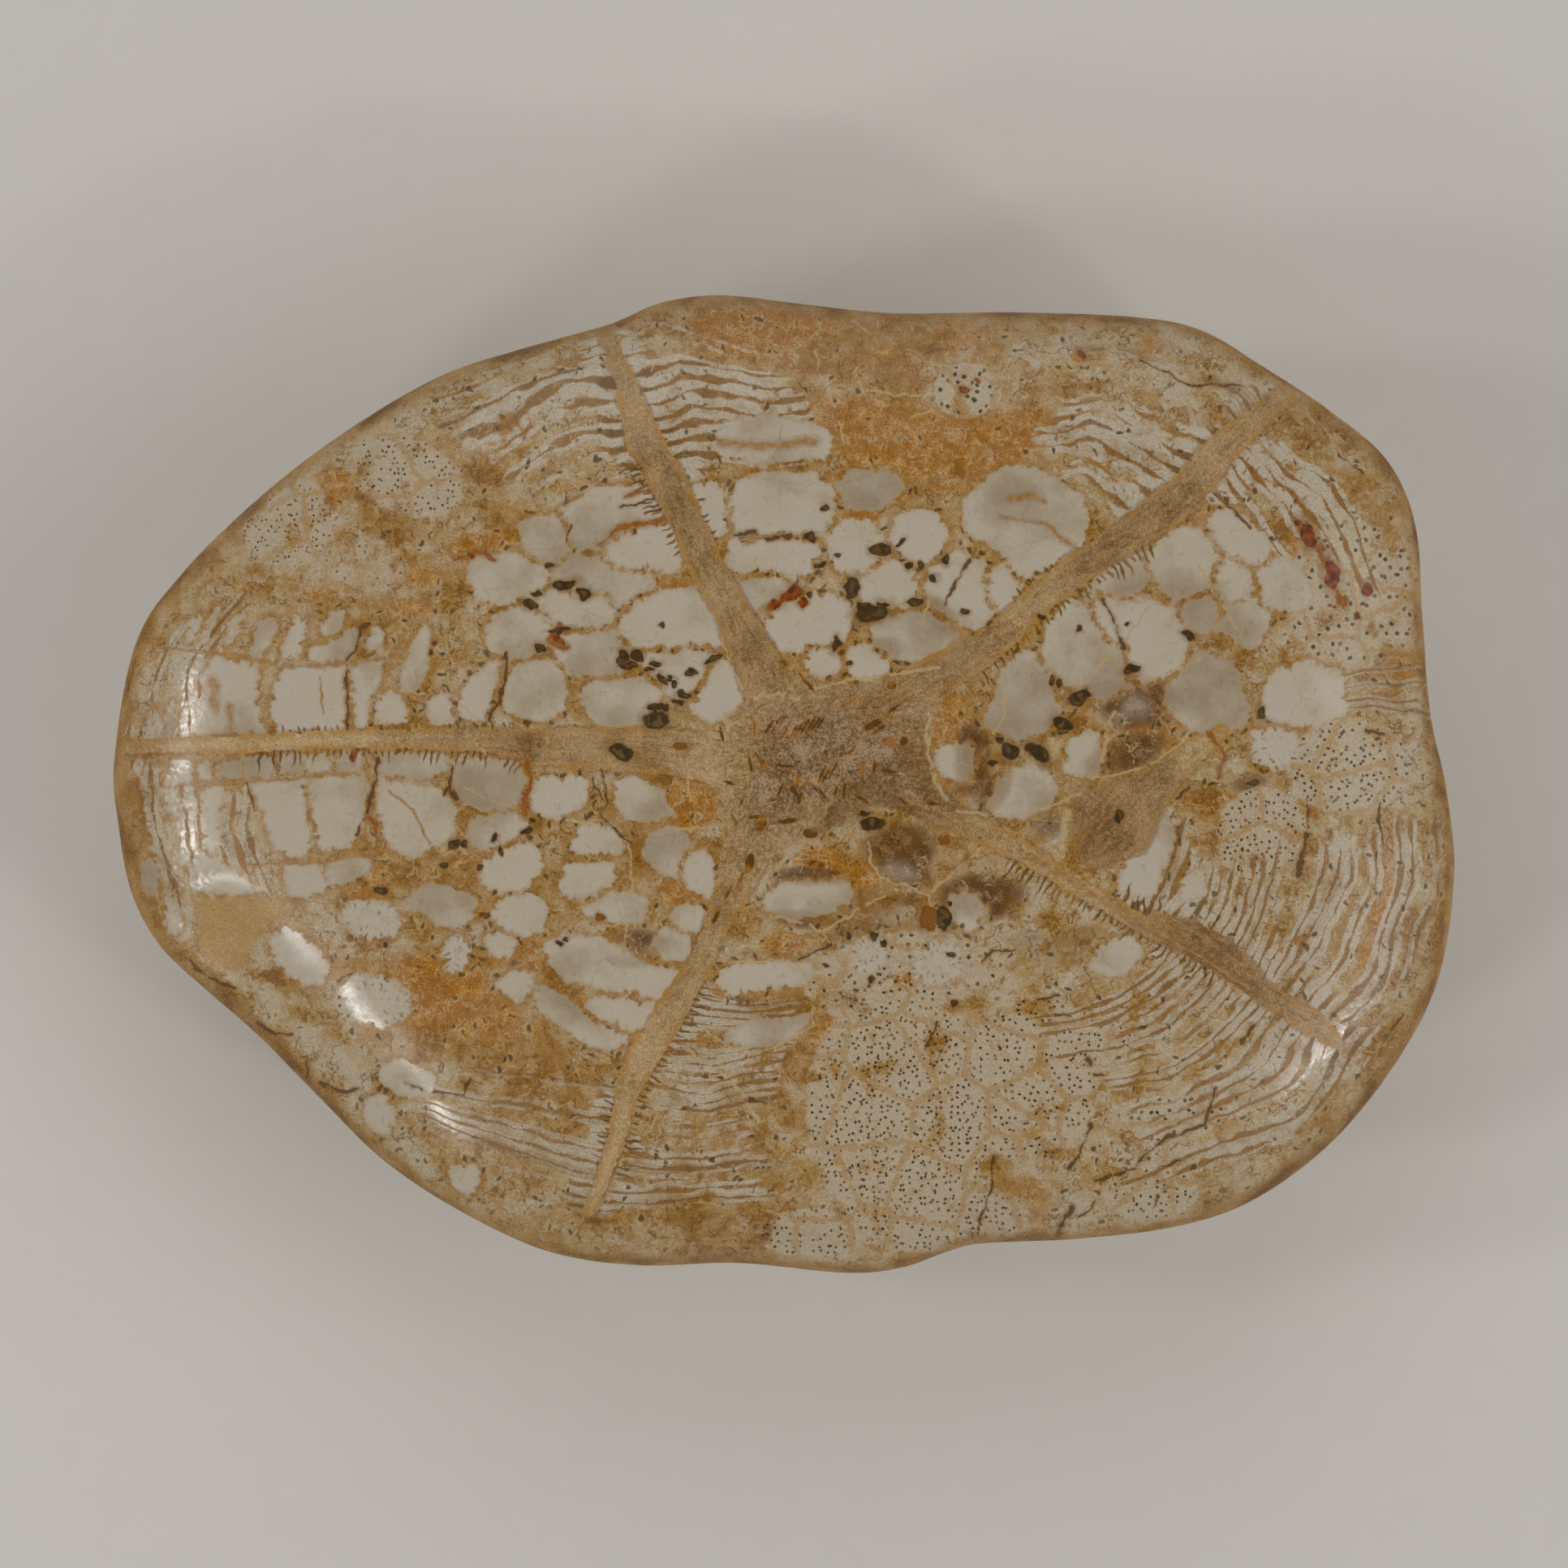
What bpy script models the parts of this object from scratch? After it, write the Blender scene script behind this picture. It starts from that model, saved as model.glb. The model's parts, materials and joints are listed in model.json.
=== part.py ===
"""Polished clypeaster sea urchin fossil, modelled in metres with +Z up.

The fossil is one stone. It lies on the low dome of its petal side, on a small worn flat spot, with the polished
mouth side facing up. The origin is on the surface that it rests on, under the middle of its outline.
"""

import math

import bmesh
import bpy
import numpy as np

# Driving sizes, in metres.
LENGTH = 0.125
GIRTH_HEIGHT = 0.0240
FACE_RISE = 0.0105
FACE_CROWN = 0.0015

# The outline at the girth, clockwise from the left end, in pixels of a view from straight above.
VIEW_CENTRE = (966.5, 966.5)
OUTLINE = (
    (142, 935), (146, 1010), (163, 1100), (200, 1168), (262, 1226), (320, 1277), (392, 1350), (475, 1431),
    (575, 1496), (680, 1543), (790, 1559), (910, 1556), (1040, 1568), (1110, 1562), (1165, 1543), (1210, 1532),
    (1330, 1526), (1450, 1511), (1545, 1478), (1640, 1408), (1720, 1309), (1772, 1205), (1791, 1080), (1782, 975),
    (1762, 880), (1752, 760), (1744, 650), (1710, 570), (1640, 508), (1550, 449), (1480, 408), (1400, 392),
    (1250, 386), (1100, 387), (990, 376), (890, 365), (815, 374), (750, 401), (640, 432), (545, 464),
    (440, 524), (330, 606), (225, 708), (168, 795),
)
PIXEL = LENGTH / (1791 - 142)

# The middle of the five rays, from which the form is laid out, in the same pixels.
BODY_CENTRE = (990.0, 962.0)

# How the face turns over at its rim: a higher power keeps it flat further out. The low left side is worn round.
RIM_POWER = 7.0
WORN_RIM_POWER = 4.2
WORN_RIM_AZIMUTH = math.radians(207)
WORN_RIM_SPREAD = math.radians(24)

# The dome below the girth: share of the radius that is flat, and the powers of the curve from there to the girth.
FLAT_SHARE = 0.27
DOME_RUN_POWER = 2.3
DOME_RISE_POWER = 2.0

# The five petals on the dome, in line with the five grooves of the mouth side.
PETAL_AZIMUTHS = tuple(math.radians(a) for a in (177, 115, 39, 328, 243))
PETAL_REACH = 0.74
PETAL_HALF_WIDTH = 0.0085
PETAL_SWELL = 0.0009
PORE_GROOVE_DEPTH = 0.0003
PORE_GROOVE_WIDTH = 0.0032

# Height of the slow lumps of the dome.
LUMP_HEIGHT = 0.0004

# Broad hollows of the face and rim: place in pixels, radius and depth in metres.
HOLLOWS = (
    ((282, 1146), 0.0045, 0.0013),
    ((345, 1262), 0.0060, 0.0010),
    ((450, 1352), 0.0045, 0.0007),
    ((1205, 1515), 0.0050, 0.0009),
)

# How finely the stone is faceted.
SEGMENTS = 104
RINGS = 44

STONE_COLOUR = (0.55, 0.42, 0.27, 1.0)
STONE_ROUGHNESS = 0.28


def place(pixel):
    """Place of a pixel in the stone's own frame, in metres."""
    return np.array([pixel[0] - VIEW_CENTRE[0], VIEW_CENTRE[1] - pixel[1]]) * PIXEL


def smooth_step(low, high, value):
    """0 below low and 1 above high, with a smooth rise between them."""
    share = np.clip((value - low) / (high - low), 0.0, 1.0)
    return share * share * (3.0 - 2.0 * share)


def angle_between(first, second):
    """Unsigned angle between two azimuths."""
    return np.abs((first - second + math.pi) % (2.0 * math.pi) - math.pi)


def closed_curve(points, steps=16):
    """Points along a smooth closed curve that passes through the given ones."""
    before, after, beyond = (np.roll(points, -shift, axis=0) for shift in (-1, 1, 2))
    runs = []
    for t in np.arange(steps) / steps:
        runs.append(0.5 * (
            2.0 * points
            + (after - before) * t
            + (2.0 * before - 5.0 * points + 4.0 * after - beyond) * t ** 2
            + (3.0 * points - before - 3.0 * after + beyond) * t ** 3
        ))
    return np.stack(runs, axis=1).reshape(-1, 2)


def outline_radius(azimuths):
    """Distance from the body's centre to the girth in each direction."""
    curve = closed_curve(np.array([place(p) for p in OUTLINE])) - place(BODY_CENTRE)
    bearing = np.arctan2(curve[:, 1], curve[:, 0])
    order = np.argsort(bearing)
    return np.interp(azimuths, bearing[order], np.hypot(*curve.T)[order], period=2.0 * math.pi)


def profile(shares):
    """Radius, as a share of the girth's, at each share of the way from the middle of the face to that of the base.

    Also returns how far each point is down the dome, which is 0 on the face and up to 1 at the flat spot.
    """
    turn = np.linspace(0.0, math.pi / 2.0, 800)
    face_share = np.sin(turn) ** (2.0 / RIM_POWER)
    face_height = FACE_RISE * np.cos(turn)
    dome_share = FLAT_SHARE + (1.0 - FLAT_SHARE) * np.sin(turn[::-1]) ** (2.0 / DOME_RUN_POWER)
    dome_fall = np.cos(turn[::-1]) ** (2.0 / DOME_RISE_POWER)
    share = np.concatenate([face_share, dome_share, [0.0]])
    fall = np.concatenate([0.0 * turn, dome_fall, [1.0]])
    height = np.concatenate([face_height, -GIRTH_HEIGHT * dome_fall, [-GIRTH_HEIGHT]])
    run = np.hypot(np.diff(share) * 0.43 * LENGTH, np.diff(height))
    along = np.concatenate([[0.0], np.cumsum(run)]) / run.sum()
    return np.interp(shares, along, share), np.interp(shares, along, fall)


def face_heights(share, azimuth):
    """Height of the polished face and its rounded rim."""
    worn = np.exp(-(angle_between(azimuth, WORN_RIM_AZIMUTH) / WORN_RIM_SPREAD) ** 2)
    power = RIM_POWER + (WORN_RIM_POWER - RIM_POWER) * worn
    rim = np.sqrt(np.clip(1.0 - share ** power, 0.0, 1.0))
    return GIRTH_HEIGHT + FACE_RISE * rim + FACE_CROWN * (1.0 - share ** 2)


def petal_swell(share, offset):
    """How far the petals stand out of the dome: a swollen middle between two shallow pore grooves."""
    swell = np.zeros(len(share))
    distance = np.hypot(*offset)
    bearing = np.arctan2(offset[1], offset[0])
    for azimuth in PETAL_AZIMUTHS:
        apart = angle_between(bearing, azimuth)
        across = np.where(apart < math.pi / 2.0, distance * np.sin(apart), 1.0)
        along = np.clip(share / PETAL_REACH, 0.0, 1.0)
        half_width = PETAL_HALF_WIDTH * np.sin(math.pi * along ** 0.8) ** 0.7 + 0.0005
        middle = 1.0 - smooth_step(0.2, 1.15, across / half_width)
        groove = np.exp(-((across - half_width) / PORE_GROOVE_WIDTH) ** 2)
        fade = 1.0 - smooth_step(0.8 * PETAL_REACH, 1.1 * PETAL_REACH, share)
        swell += fade * (PETAL_SWELL * middle - PORE_GROOVE_DEPTH * groove)
    return swell


def stone_points(sphere):
    """Moves the points of a unit sphere onto the stone's surface."""
    azimuth = np.arctan2(sphere[:, 1], sphere[:, 0])
    share, fall = profile(np.arccos(np.clip(sphere[:, 2], -1.0, 1.0)) / math.pi)
    radius = outline_radius(azimuth) * share
    offset = radius * np.array([np.cos(azimuth), np.sin(azimuth)])
    x, y = offset + place(BODY_CENTRE)[:, None]
    on_dome = fall > 0.0
    dome = GIRTH_HEIGHT * (1.0 - fall)
    dome = dome - petal_swell(share, offset) * smooth_step(FLAT_SHARE, FLAT_SHARE + 0.2, share)
    dome = dome + LUMP_HEIGHT * smooth_step(0.1, 0.5, fall) * np.sin(95.0 * x + 1.3) * np.sin(110.0 * y)
    face = face_heights(share, azimuth)
    for pixel, reach, depth in HOLLOWS:
        away = np.hypot(*(np.array([x, y]) - place(pixel)[:, None])) / reach
        face = face - depth * np.exp(-away ** 2) * smooth_step(1.0, 0.93, share)
    z = np.where(on_dome, np.clip(dome, 0.0, None), face)
    return np.array([x, y, z]).T


def stone_material():
    """Tan polished stone."""
    material = bpy.data.materials.new("polished_stone")
    material.use_nodes = True
    shader = material.node_tree.nodes["Principled BSDF"]
    shader.inputs["Base Color"].default_value = STONE_COLOUR
    shader.inputs["Roughness"].default_value = STONE_ROUGHNESS
    shader.inputs["Metallic"].default_value = 0.0
    return material


def build_fossil():
    """Makes the stone from a sphere whose points are moved onto its surface."""
    shape = bmesh.new()
    bmesh.ops.create_uvsphere(shape, u_segments=SEGMENTS, v_segments=RINGS, radius=1.0)
    moved = stone_points(np.array([vertex.co for vertex in shape.verts]))
    for vertex, point in zip(shape.verts, moved):
        vertex.co = point
    bmesh.ops.triangulate(shape, faces=shape.faces)
    bmesh.ops.recalc_face_normals(shape, faces=shape.faces)
    mesh = bpy.data.meshes.new("fossil_urchin")
    shape.to_mesh(mesh)
    shape.free()
    mesh.shade_smooth()
    mesh.materials.append(stone_material())
    fossil = bpy.data.objects.new("fossil_urchin", mesh)
    bpy.context.scene.collection.objects.link(fossil)
    return fossil


def main():
    """Clears the scene and builds the fossil."""
    for old in list(bpy.data.objects):
        bpy.data.objects.remove(old)
    build_fossil()


main()
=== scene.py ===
"""Polished clypeaster sea urchin fossil, dressed for the parts library.

The fossil is one stone, which lies on the low dome of its petal side with the polished mouth side up. Its form is
the same as in the part's source. The marks of the polished face are laid out one by one: each plate, food groove,
zone of stripes, stain, pit and crack is an outline or a place in pixels of a view from straight above. They become
attributes of the mesh, and one procedural stone finish paints them.
"""

import json
import logging
import math
from dataclasses import dataclass, field
from enum import Enum

import bmesh
import bpy
import numpy as np
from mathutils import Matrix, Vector

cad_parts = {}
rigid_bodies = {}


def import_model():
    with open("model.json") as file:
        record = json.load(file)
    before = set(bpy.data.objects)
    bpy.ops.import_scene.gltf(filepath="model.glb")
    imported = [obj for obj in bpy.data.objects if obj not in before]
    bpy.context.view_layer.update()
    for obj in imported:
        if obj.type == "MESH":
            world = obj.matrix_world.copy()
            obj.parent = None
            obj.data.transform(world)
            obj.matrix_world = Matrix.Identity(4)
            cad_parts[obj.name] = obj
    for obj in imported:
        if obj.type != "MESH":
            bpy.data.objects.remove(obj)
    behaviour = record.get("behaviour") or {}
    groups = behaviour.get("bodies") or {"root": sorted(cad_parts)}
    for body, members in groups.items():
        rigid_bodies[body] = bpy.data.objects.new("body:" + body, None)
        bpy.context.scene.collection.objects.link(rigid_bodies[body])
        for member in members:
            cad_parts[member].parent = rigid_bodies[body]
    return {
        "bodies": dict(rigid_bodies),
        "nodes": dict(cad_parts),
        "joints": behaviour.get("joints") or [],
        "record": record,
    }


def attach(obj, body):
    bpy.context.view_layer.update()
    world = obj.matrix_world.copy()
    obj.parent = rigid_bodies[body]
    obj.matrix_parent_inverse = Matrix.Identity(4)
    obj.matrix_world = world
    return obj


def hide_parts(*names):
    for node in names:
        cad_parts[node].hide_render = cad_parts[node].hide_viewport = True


LOG = logging.getLogger("fossil")
Array = np.ndarray
Path = tuple[tuple[float, ...], ...]
Outline = tuple[float, ...]
Patch = tuple[float, ...]
Tint = tuple[float, float, float]

# The view from straight above: metres in a pixel at the girth, its middle, and how high the eye is above the girth.
LENGTH = 0.125
PIXEL = LENGTH / 1649.0
VIEW_CENTRE = (966.5, 966.5)
FRAME_PIXELS = 1932
LENS_MM = 100.0
SENSOR_MM = 36.0
GIRTH_HEIGHT = 0.0240
EYE_HEIGHT = FRAME_PIXELS * PIXEL * LENS_MM / SENSOR_MM

# The outline at the girth, clockwise from the left end, and the middle of the five rays.
OUTLINE: Path = (
    (142, 935), (146, 1010), (163, 1100), (200, 1168), (262, 1226), (320, 1277), (392, 1350), (475, 1431),
    (575, 1496), (680, 1543), (790, 1559), (910, 1556), (1040, 1568), (1110, 1562), (1165, 1543), (1210, 1532),
    (1330, 1526), (1450, 1511), (1545, 1478), (1640, 1408), (1720, 1309), (1772, 1205), (1791, 1080), (1782, 975),
    (1762, 880), (1752, 760), (1744, 650), (1710, 570), (1640, 508), (1550, 449), (1480, 408), (1400, 392),
    (1250, 386), (1100, 387), (990, 376), (890, 365), (815, 374), (750, 401), (640, 432), (545, 464),
    (440, 524), (330, 606), (225, 708), (168, 795),
)
BODY_CENTRE = (990.0, 962.0)

# Broad hollows of the face and rim: place in pixels, radius and depth in metres.
HOLLOWS: tuple[tuple[Patch, float, float], ...] = (
    ((282, 1146), 0.0045, 0.0013), ((345, 1262), 0.0060, 0.0010), ((450, 1352), 0.0045, 0.0007),
    ((1205, 1515), 0.0050, 0.0009),
)

# Calcite plates, each the corners of one white plate, in pixels of the view from straight above. Here and below an
# outline is a run of x and y, corner after corner.
PLATES_ABOVE_LEFT_RAY: tuple[Outline, ...] = (
    (245, 903, 243, 868, 251, 838, 262, 812, 270, 804, 279, 816, 300, 812, 318, 826, 317, 870, 326, 902),
    (343, 817, 424, 822, 423, 901, 339, 902, 334, 872, 341, 842),
    (352, 790, 362, 762, 378, 764, 372, 800, 360, 813, 348, 812),
    (382, 797, 402, 796, 441, 771, 444, 788, 430, 814, 383, 815),
    (396, 777, 405, 756, 425, 753, 417, 775, 403, 786),
    (436, 826, 452, 810, 474, 800, 474, 822, 455, 868, 451, 896, 440, 896, 435, 860),
    (308, 806, 318, 768, 336, 760, 340, 771, 330, 797, 320, 812),
    (450, 800, 462, 772, 474, 778, 472, 798, 455, 806),
    (463, 892, 466, 862, 480, 853, 497, 858, 503, 892),
    (495, 850, 497, 820, 522, 770, 530, 778, 527, 832, 514, 850),
    (528, 892, 530, 862, 548, 850, 556, 870, 560, 892),
    (562, 884, 566, 858, 590, 828, 611, 811, 617, 816, 607, 860, 594, 888),
    (620, 872, 622, 842, 640, 816, 670, 811, 690, 826, 699, 850, 696, 874, 672, 888, 640, 886),
    (716, 852, 728, 836, 790, 838, 815, 850, 812, 868, 795, 880, 790, 896, 742, 896, 722, 878),
    (203, 910, 206, 872, 214, 866, 217, 905), (222, 908, 226, 866, 232, 868, 231, 908),
    (183, 914, 187, 870, 190, 870, 190, 912), (228, 790, 236, 765, 245, 755, 250, 762, 242, 792),
    (246, 790, 268, 742, 272, 750, 254, 795), (276, 795, 284, 770, 296, 750, 300, 760, 290, 790),
)
PLATES_BELOW_LEFT_RAY: tuple[Outline, ...] = (
    (305, 957, 302, 938, 330, 932, 338, 945, 338, 958), (346, 953, 347, 935, 366, 931, 372, 950),
    (378, 951, 380, 933, 404, 932, 410, 950), (419, 950, 421, 932, 444, 930, 447, 950),
    (272, 955, 274, 942, 294, 940, 296, 957), (209, 962, 213, 942, 232, 940, 236, 962),
    (247, 960, 250, 942, 257, 945, 256, 960), (312, 967, 372, 959, 384, 1040, 372, 1056, 350, 1054, 338, 1036),
    (380, 958, 447, 957, 452, 972, 443, 1028, 428, 1042, 400, 1046, 387, 1032),
    (254, 1046, 251, 1000, 258, 976, 272, 974, 268, 1050), (207, 1000, 207, 970, 217, 968, 218, 1000),
    (231, 998, 229, 974, 238, 974, 240, 998), (177, 1095, 178, 1065, 186, 1060, 196, 1080, 190, 1100),
    (243, 1098, 241, 1060, 250, 1052, 320, 1098, 270, 1100),
    (205, 1145, 203, 1120, 212, 1110, 222, 1140, 214, 1150),
    (404, 1075, 415, 1062, 440, 1058, 455, 1062, 452, 1075, 430, 1085, 410, 1090),
    (355, 1095, 352, 1065, 375, 1062, 395, 1070, 398, 1098, 370, 1105),
    (470, 953, 466, 936, 486, 930, 520, 932, 549, 930, 548, 950, 520, 962),
    (467, 985, 470, 960, 520, 966, 546, 976, 560, 1002, 556, 1030, 511, 1057, 482, 1040, 470, 1012),
    (559, 966, 562, 940, 600, 938, 640, 942, 643, 966, 640, 988, 602, 1000, 567, 985),
    (577, 1034, 580, 1012, 602, 1003, 640, 1010, 650, 1020, 622, 1038, 592, 1045),
    (654, 990, 656, 966, 668, 958, 692, 962, 714, 956, 722, 966, 722, 990, 702, 998, 690, 1006, 668, 1005),
    (760, 990, 762, 966, 780, 960, 800, 968, 816, 978, 826, 1000, 802, 1012, 777, 1010),
)
PLATES_LOWER_LEFT: tuple[Outline, ...] = (
    (712, 1046, 716, 1028, 732, 1021, 760, 1030, 765, 1044, 742, 1051),
    (697, 1092, 702, 1074, 722, 1065, 746, 1066, 750, 1082, 731, 1101, 706, 1102),
    (598, 1080, 604, 1064, 634, 1048, 650, 1046, 665, 1060, 656, 1080, 640, 1093, 604, 1092),
    (506, 1114, 530, 1096, 556, 1100, 580, 1112, 576, 1128, 560, 1136, 541, 1135, 530, 1120),
    (613, 1128, 622, 1113, 655, 1107, 668, 1126, 662, 1141, 645, 1149, 624, 1144),
    (728, 1122, 738, 1110, 760, 1106, 792, 1114, 786, 1130, 760, 1132),
    (682, 1184, 680, 1170, 692, 1160, 740, 1163, 800, 1198, 840, 1205, 835, 1222, 790, 1225, 758, 1222, 726, 1206,
     700, 1202),
    (801, 1050, 806, 1033, 826, 1025, 842, 1031, 841, 1050, 831, 1077, 812, 1066),
    (844, 1074, 848, 1058, 870, 1057, 877, 1078, 873, 1099, 856, 1091),
    (835, 1130, 846, 1119, 862, 1126, 858, 1142, 844, 1142),
    (604, 1158, 614, 1150, 630, 1160, 626, 1173, 610, 1170),
    (620, 1214, 636, 1204, 650, 1206, 655, 1222, 640, 1228),
    (656, 1228, 672, 1222, 700, 1240, 725, 1262, 750, 1266, 765, 1282, 740, 1286, 712, 1272),
    (730, 1240, 760, 1230, 800, 1240, 796, 1262, 770, 1262, 742, 1256),
    (812, 1165, 820, 1150, 845, 1158, 846, 1176, 826, 1178),
    (340, 1165, 352, 1150, 375, 1162, 398, 1188, 392, 1206, 372, 1205, 352, 1190),
    (470, 1322, 490, 1312, 528, 1330, 524, 1346, 492, 1342),
    (456, 1362, 470, 1354, 482, 1380, 474, 1394, 460, 1384),
    (562, 1446, 578, 1440, 590, 1458, 580, 1466, 566, 1460),
)
PLATES_UPPER_LEFT: tuple[Outline, ...] = (
    (586, 712, 596, 694, 640, 696, 662, 702, 666, 716, 650, 727, 620, 736, 597, 727),
    (613, 792, 613, 776, 624, 762, 642, 757, 664, 766, 672, 782, 660, 800, 630, 802),
    (675, 752, 682, 732, 702, 736, 742, 736, 748, 762, 722, 771, 692, 768),
    (693, 800, 704, 790, 722, 785, 760, 785, 771, 801, 756, 820, 726, 826, 706, 816),
    (657, 672, 652, 652, 690, 646, 702, 662, 697, 680, 668, 687),
    (700, 668, 704, 634, 740, 612, 790, 612, 808, 632, 770, 645, 745, 664, 722, 676),
    (745, 690, 760, 668, 790, 655, 826, 655, 832, 676, 826, 694, 795, 702, 764, 700),
    (690, 712, 704, 690, 742, 688, 758, 702, 800, 706, 796, 722, 770, 738, 742, 728, 716, 732),
    (768, 782, 776, 752, 800, 742, 850, 736, 870, 746, 882, 768, 886, 782, 870, 792, 820, 798, 790, 796),
    (800, 808, 850, 803, 872, 812, 862, 846, 840, 852, 812, 826),
    (860, 868, 868, 838, 885, 824, 908, 830, 906, 862, 880, 880),
)
PLATES_TOP_MIDDLE: tuple[Outline, ...] = (
    (903, 690, 908, 676, 932, 669, 985, 671, 1000, 682, 990, 701, 960, 706, 925, 702),
    (910, 736, 930, 716, 962, 711, 964, 726, 945, 736, 920, 744),
    (952, 776, 960, 756, 985, 746, 1012, 742, 1036, 746, 1042, 762, 1030, 786, 1000, 792, 966, 794),
    (1030, 668, 1046, 650, 1066, 650, 1080, 666, 1086, 682, 1070, 696, 1056, 702, 1040, 696),
    (1066, 722, 1076, 704, 1096, 698, 1116, 703, 1121, 722, 1112, 741, 1090, 743, 1074, 737),
    (1107, 664, 1112, 644, 1130, 638, 1150, 640, 1157, 656, 1150, 675, 1136, 686, 1120, 676),
    (1149, 730, 1156, 706, 1180, 690, 1206, 700, 1216, 750, 1206, 768, 1180, 756),
    (1084, 776, 1110, 763, 1142, 766, 1166, 784, 1180, 802, 1150, 806, 1110, 803, 1090, 792),
    (1051, 822, 1056, 809, 1066, 803, 1081, 812, 1086, 822, 1070, 829),
    (1000, 816, 1005, 805, 1022, 804, 1026, 818, 1012, 826),
    (1044, 600, 1052, 588, 1075, 592, 1098, 590, 1102, 602, 1080, 618, 1056, 620, 1046, 612),
    (890, 548, 900, 528, 950, 520, 1015, 540, 1012, 556, 960, 560, 910, 560),
    (905, 640, 900, 605, 940, 592, 1000, 594, 1020, 612, 1012, 650, 960, 656, 915, 654),
    (862, 606, 888, 602, 893, 645, 882, 652, 870, 634), (1222, 712, 1240, 705, 1250, 722, 1236, 745, 1224, 740),
)
PLATES_UPPER_RIGHT: tuple[Outline, ...] = (
    (1203, 648, 1202, 622, 1242, 590, 1270, 590, 1320, 620, 1328, 640, 1320, 668, 1296, 684, 1256, 700, 1250, 680,
     1230, 660),
    (1297, 806, 1305, 778, 1322, 754, 1342, 749, 1352, 770, 1358, 792, 1382, 800, 1388, 830, 1362, 848, 1340, 842,
     1318, 830),
    (1230, 886, 1252, 828, 1266, 816, 1282, 848, 1292, 876, 1276, 892, 1252, 898),
    (1346, 764, 1346, 740, 1400, 750, 1440, 764, 1452, 790, 1446, 815, 1420, 830, 1396, 826, 1386, 800),
    (1424, 694, 1440, 676, 1460, 664, 1482, 670, 1497, 690, 1490, 716, 1470, 726, 1454, 730),
    (1500, 722, 1500, 700, 1520, 697, 1532, 715, 1542, 736, 1522, 742),
    (1514, 766, 1516, 745, 1546, 740, 1550, 762, 1540, 786),
    (1500, 656, 1506, 640, 1522, 646, 1546, 665, 1552, 681, 1531, 686, 1510, 671),
    (1448, 866, 1456, 846, 1480, 819, 1510, 830, 1527, 880, 1500, 896, 1474, 886),
    (1562, 734, 1562, 712, 1580, 702, 1600, 716, 1603, 738, 1580, 741),
    (1362, 722, 1376, 700, 1400, 695, 1402, 708, 1386, 730),
    (1466, 756, 1472, 744, 1490, 744, 1496, 755, 1482, 766),
    (1568, 872, 1575, 840, 1610, 828, 1640, 840, 1645, 870, 1620, 884, 1590, 880),
)
PLATES_RIGHT: tuple[Outline, ...] = (
    (1158, 938, 1162, 928, 1190, 924, 1194, 940, 1186, 956, 1170, 952),
    (1222, 992, 1240, 966, 1258, 952, 1282, 950, 1296, 970, 1290, 990, 1262, 1001, 1240, 1004),
    (1320, 946, 1324, 918, 1345, 908, 1352, 935, 1346, 952),
    (1170, 1122, 1176, 1108, 1196, 1104, 1206, 1130, 1195, 1141, 1180, 1132),
    (948, 1112, 960, 1100, 975, 1094, 1042, 1093, 1042, 1106, 1012, 1121, 975, 1127),
    (888, 1206, 905, 1196, 950, 1190, 995, 1196, 990, 1208, 940, 1212, 900, 1220),
    (900, 1278, 930, 1262, 975, 1262, 990, 1256, 970, 1274, 940, 1286),
    (1385, 1090, 1398, 1060, 1432, 1010, 1442, 1030, 1420, 1096, 1400, 1102),
    (1460, 1105, 1462, 1088, 1476, 1080, 1482, 1096), (1350, 1190, 1365, 1168, 1390, 1160, 1402, 1176, 1380, 1196),
)
# Plates with rings of dark dots inside their edge.
DOTTED_PLATES: tuple[Outline, ...] = (
    (549, 1190, 550, 1166, 565, 1155, 578, 1166, 575, 1190, 560, 1200),
    (437, 1148, 421, 1122, 440, 1112, 480, 1116, 492, 1132, 485, 1150, 456, 1158),
    (422, 1222, 440, 1204, 475, 1206, 504, 1228, 500, 1250, 470, 1264, 438, 1252),
    (1545, 935, 1548, 903, 1585, 898, 1606, 918, 1592, 942, 1560, 947),
    (1046, 1182, 1058, 1160, 1080, 1153, 1094, 1170, 1088, 1192, 1060, 1198),
    (1126, 1200, 1130, 1174, 1155, 1160, 1182, 1170, 1186, 1194, 1168, 1212, 1142, 1212),
)

# The groups with how far their plates reach beyond these corners, in pixels, where no other plate is in the way.
PLATES: tuple[tuple[tuple[Outline, ...], float], ...] = (
    (PLATES_ABOVE_LEFT_RAY, 2.0), (PLATES_BELOW_LEFT_RAY, 4.0), (PLATES_LOWER_LEFT, 9.0), (PLATES_UPPER_LEFT, 14.0),
    (PLATES_TOP_MIDDLE, 12.0), (PLATES_UPPER_RIGHT, 16.0), (PLATES_RIGHT, 9.0), (DOTTED_PLATES, 5.0),
)

# Clear grey calcite, less white than the rest and without a crisp edge.
SOFT_PLATES: tuple[Outline, ...] = (
    (1374, 884, 1384, 861, 1410, 854, 1420, 872, 1412, 890),
    (1086, 1074, 1096, 1060, 1118, 1062, 1132, 1078, 1124, 1087, 1104, 1083),
    (1084, 1134, 1092, 1122, 1118, 1118, 1120, 1128, 1108, 1142),
)

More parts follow.
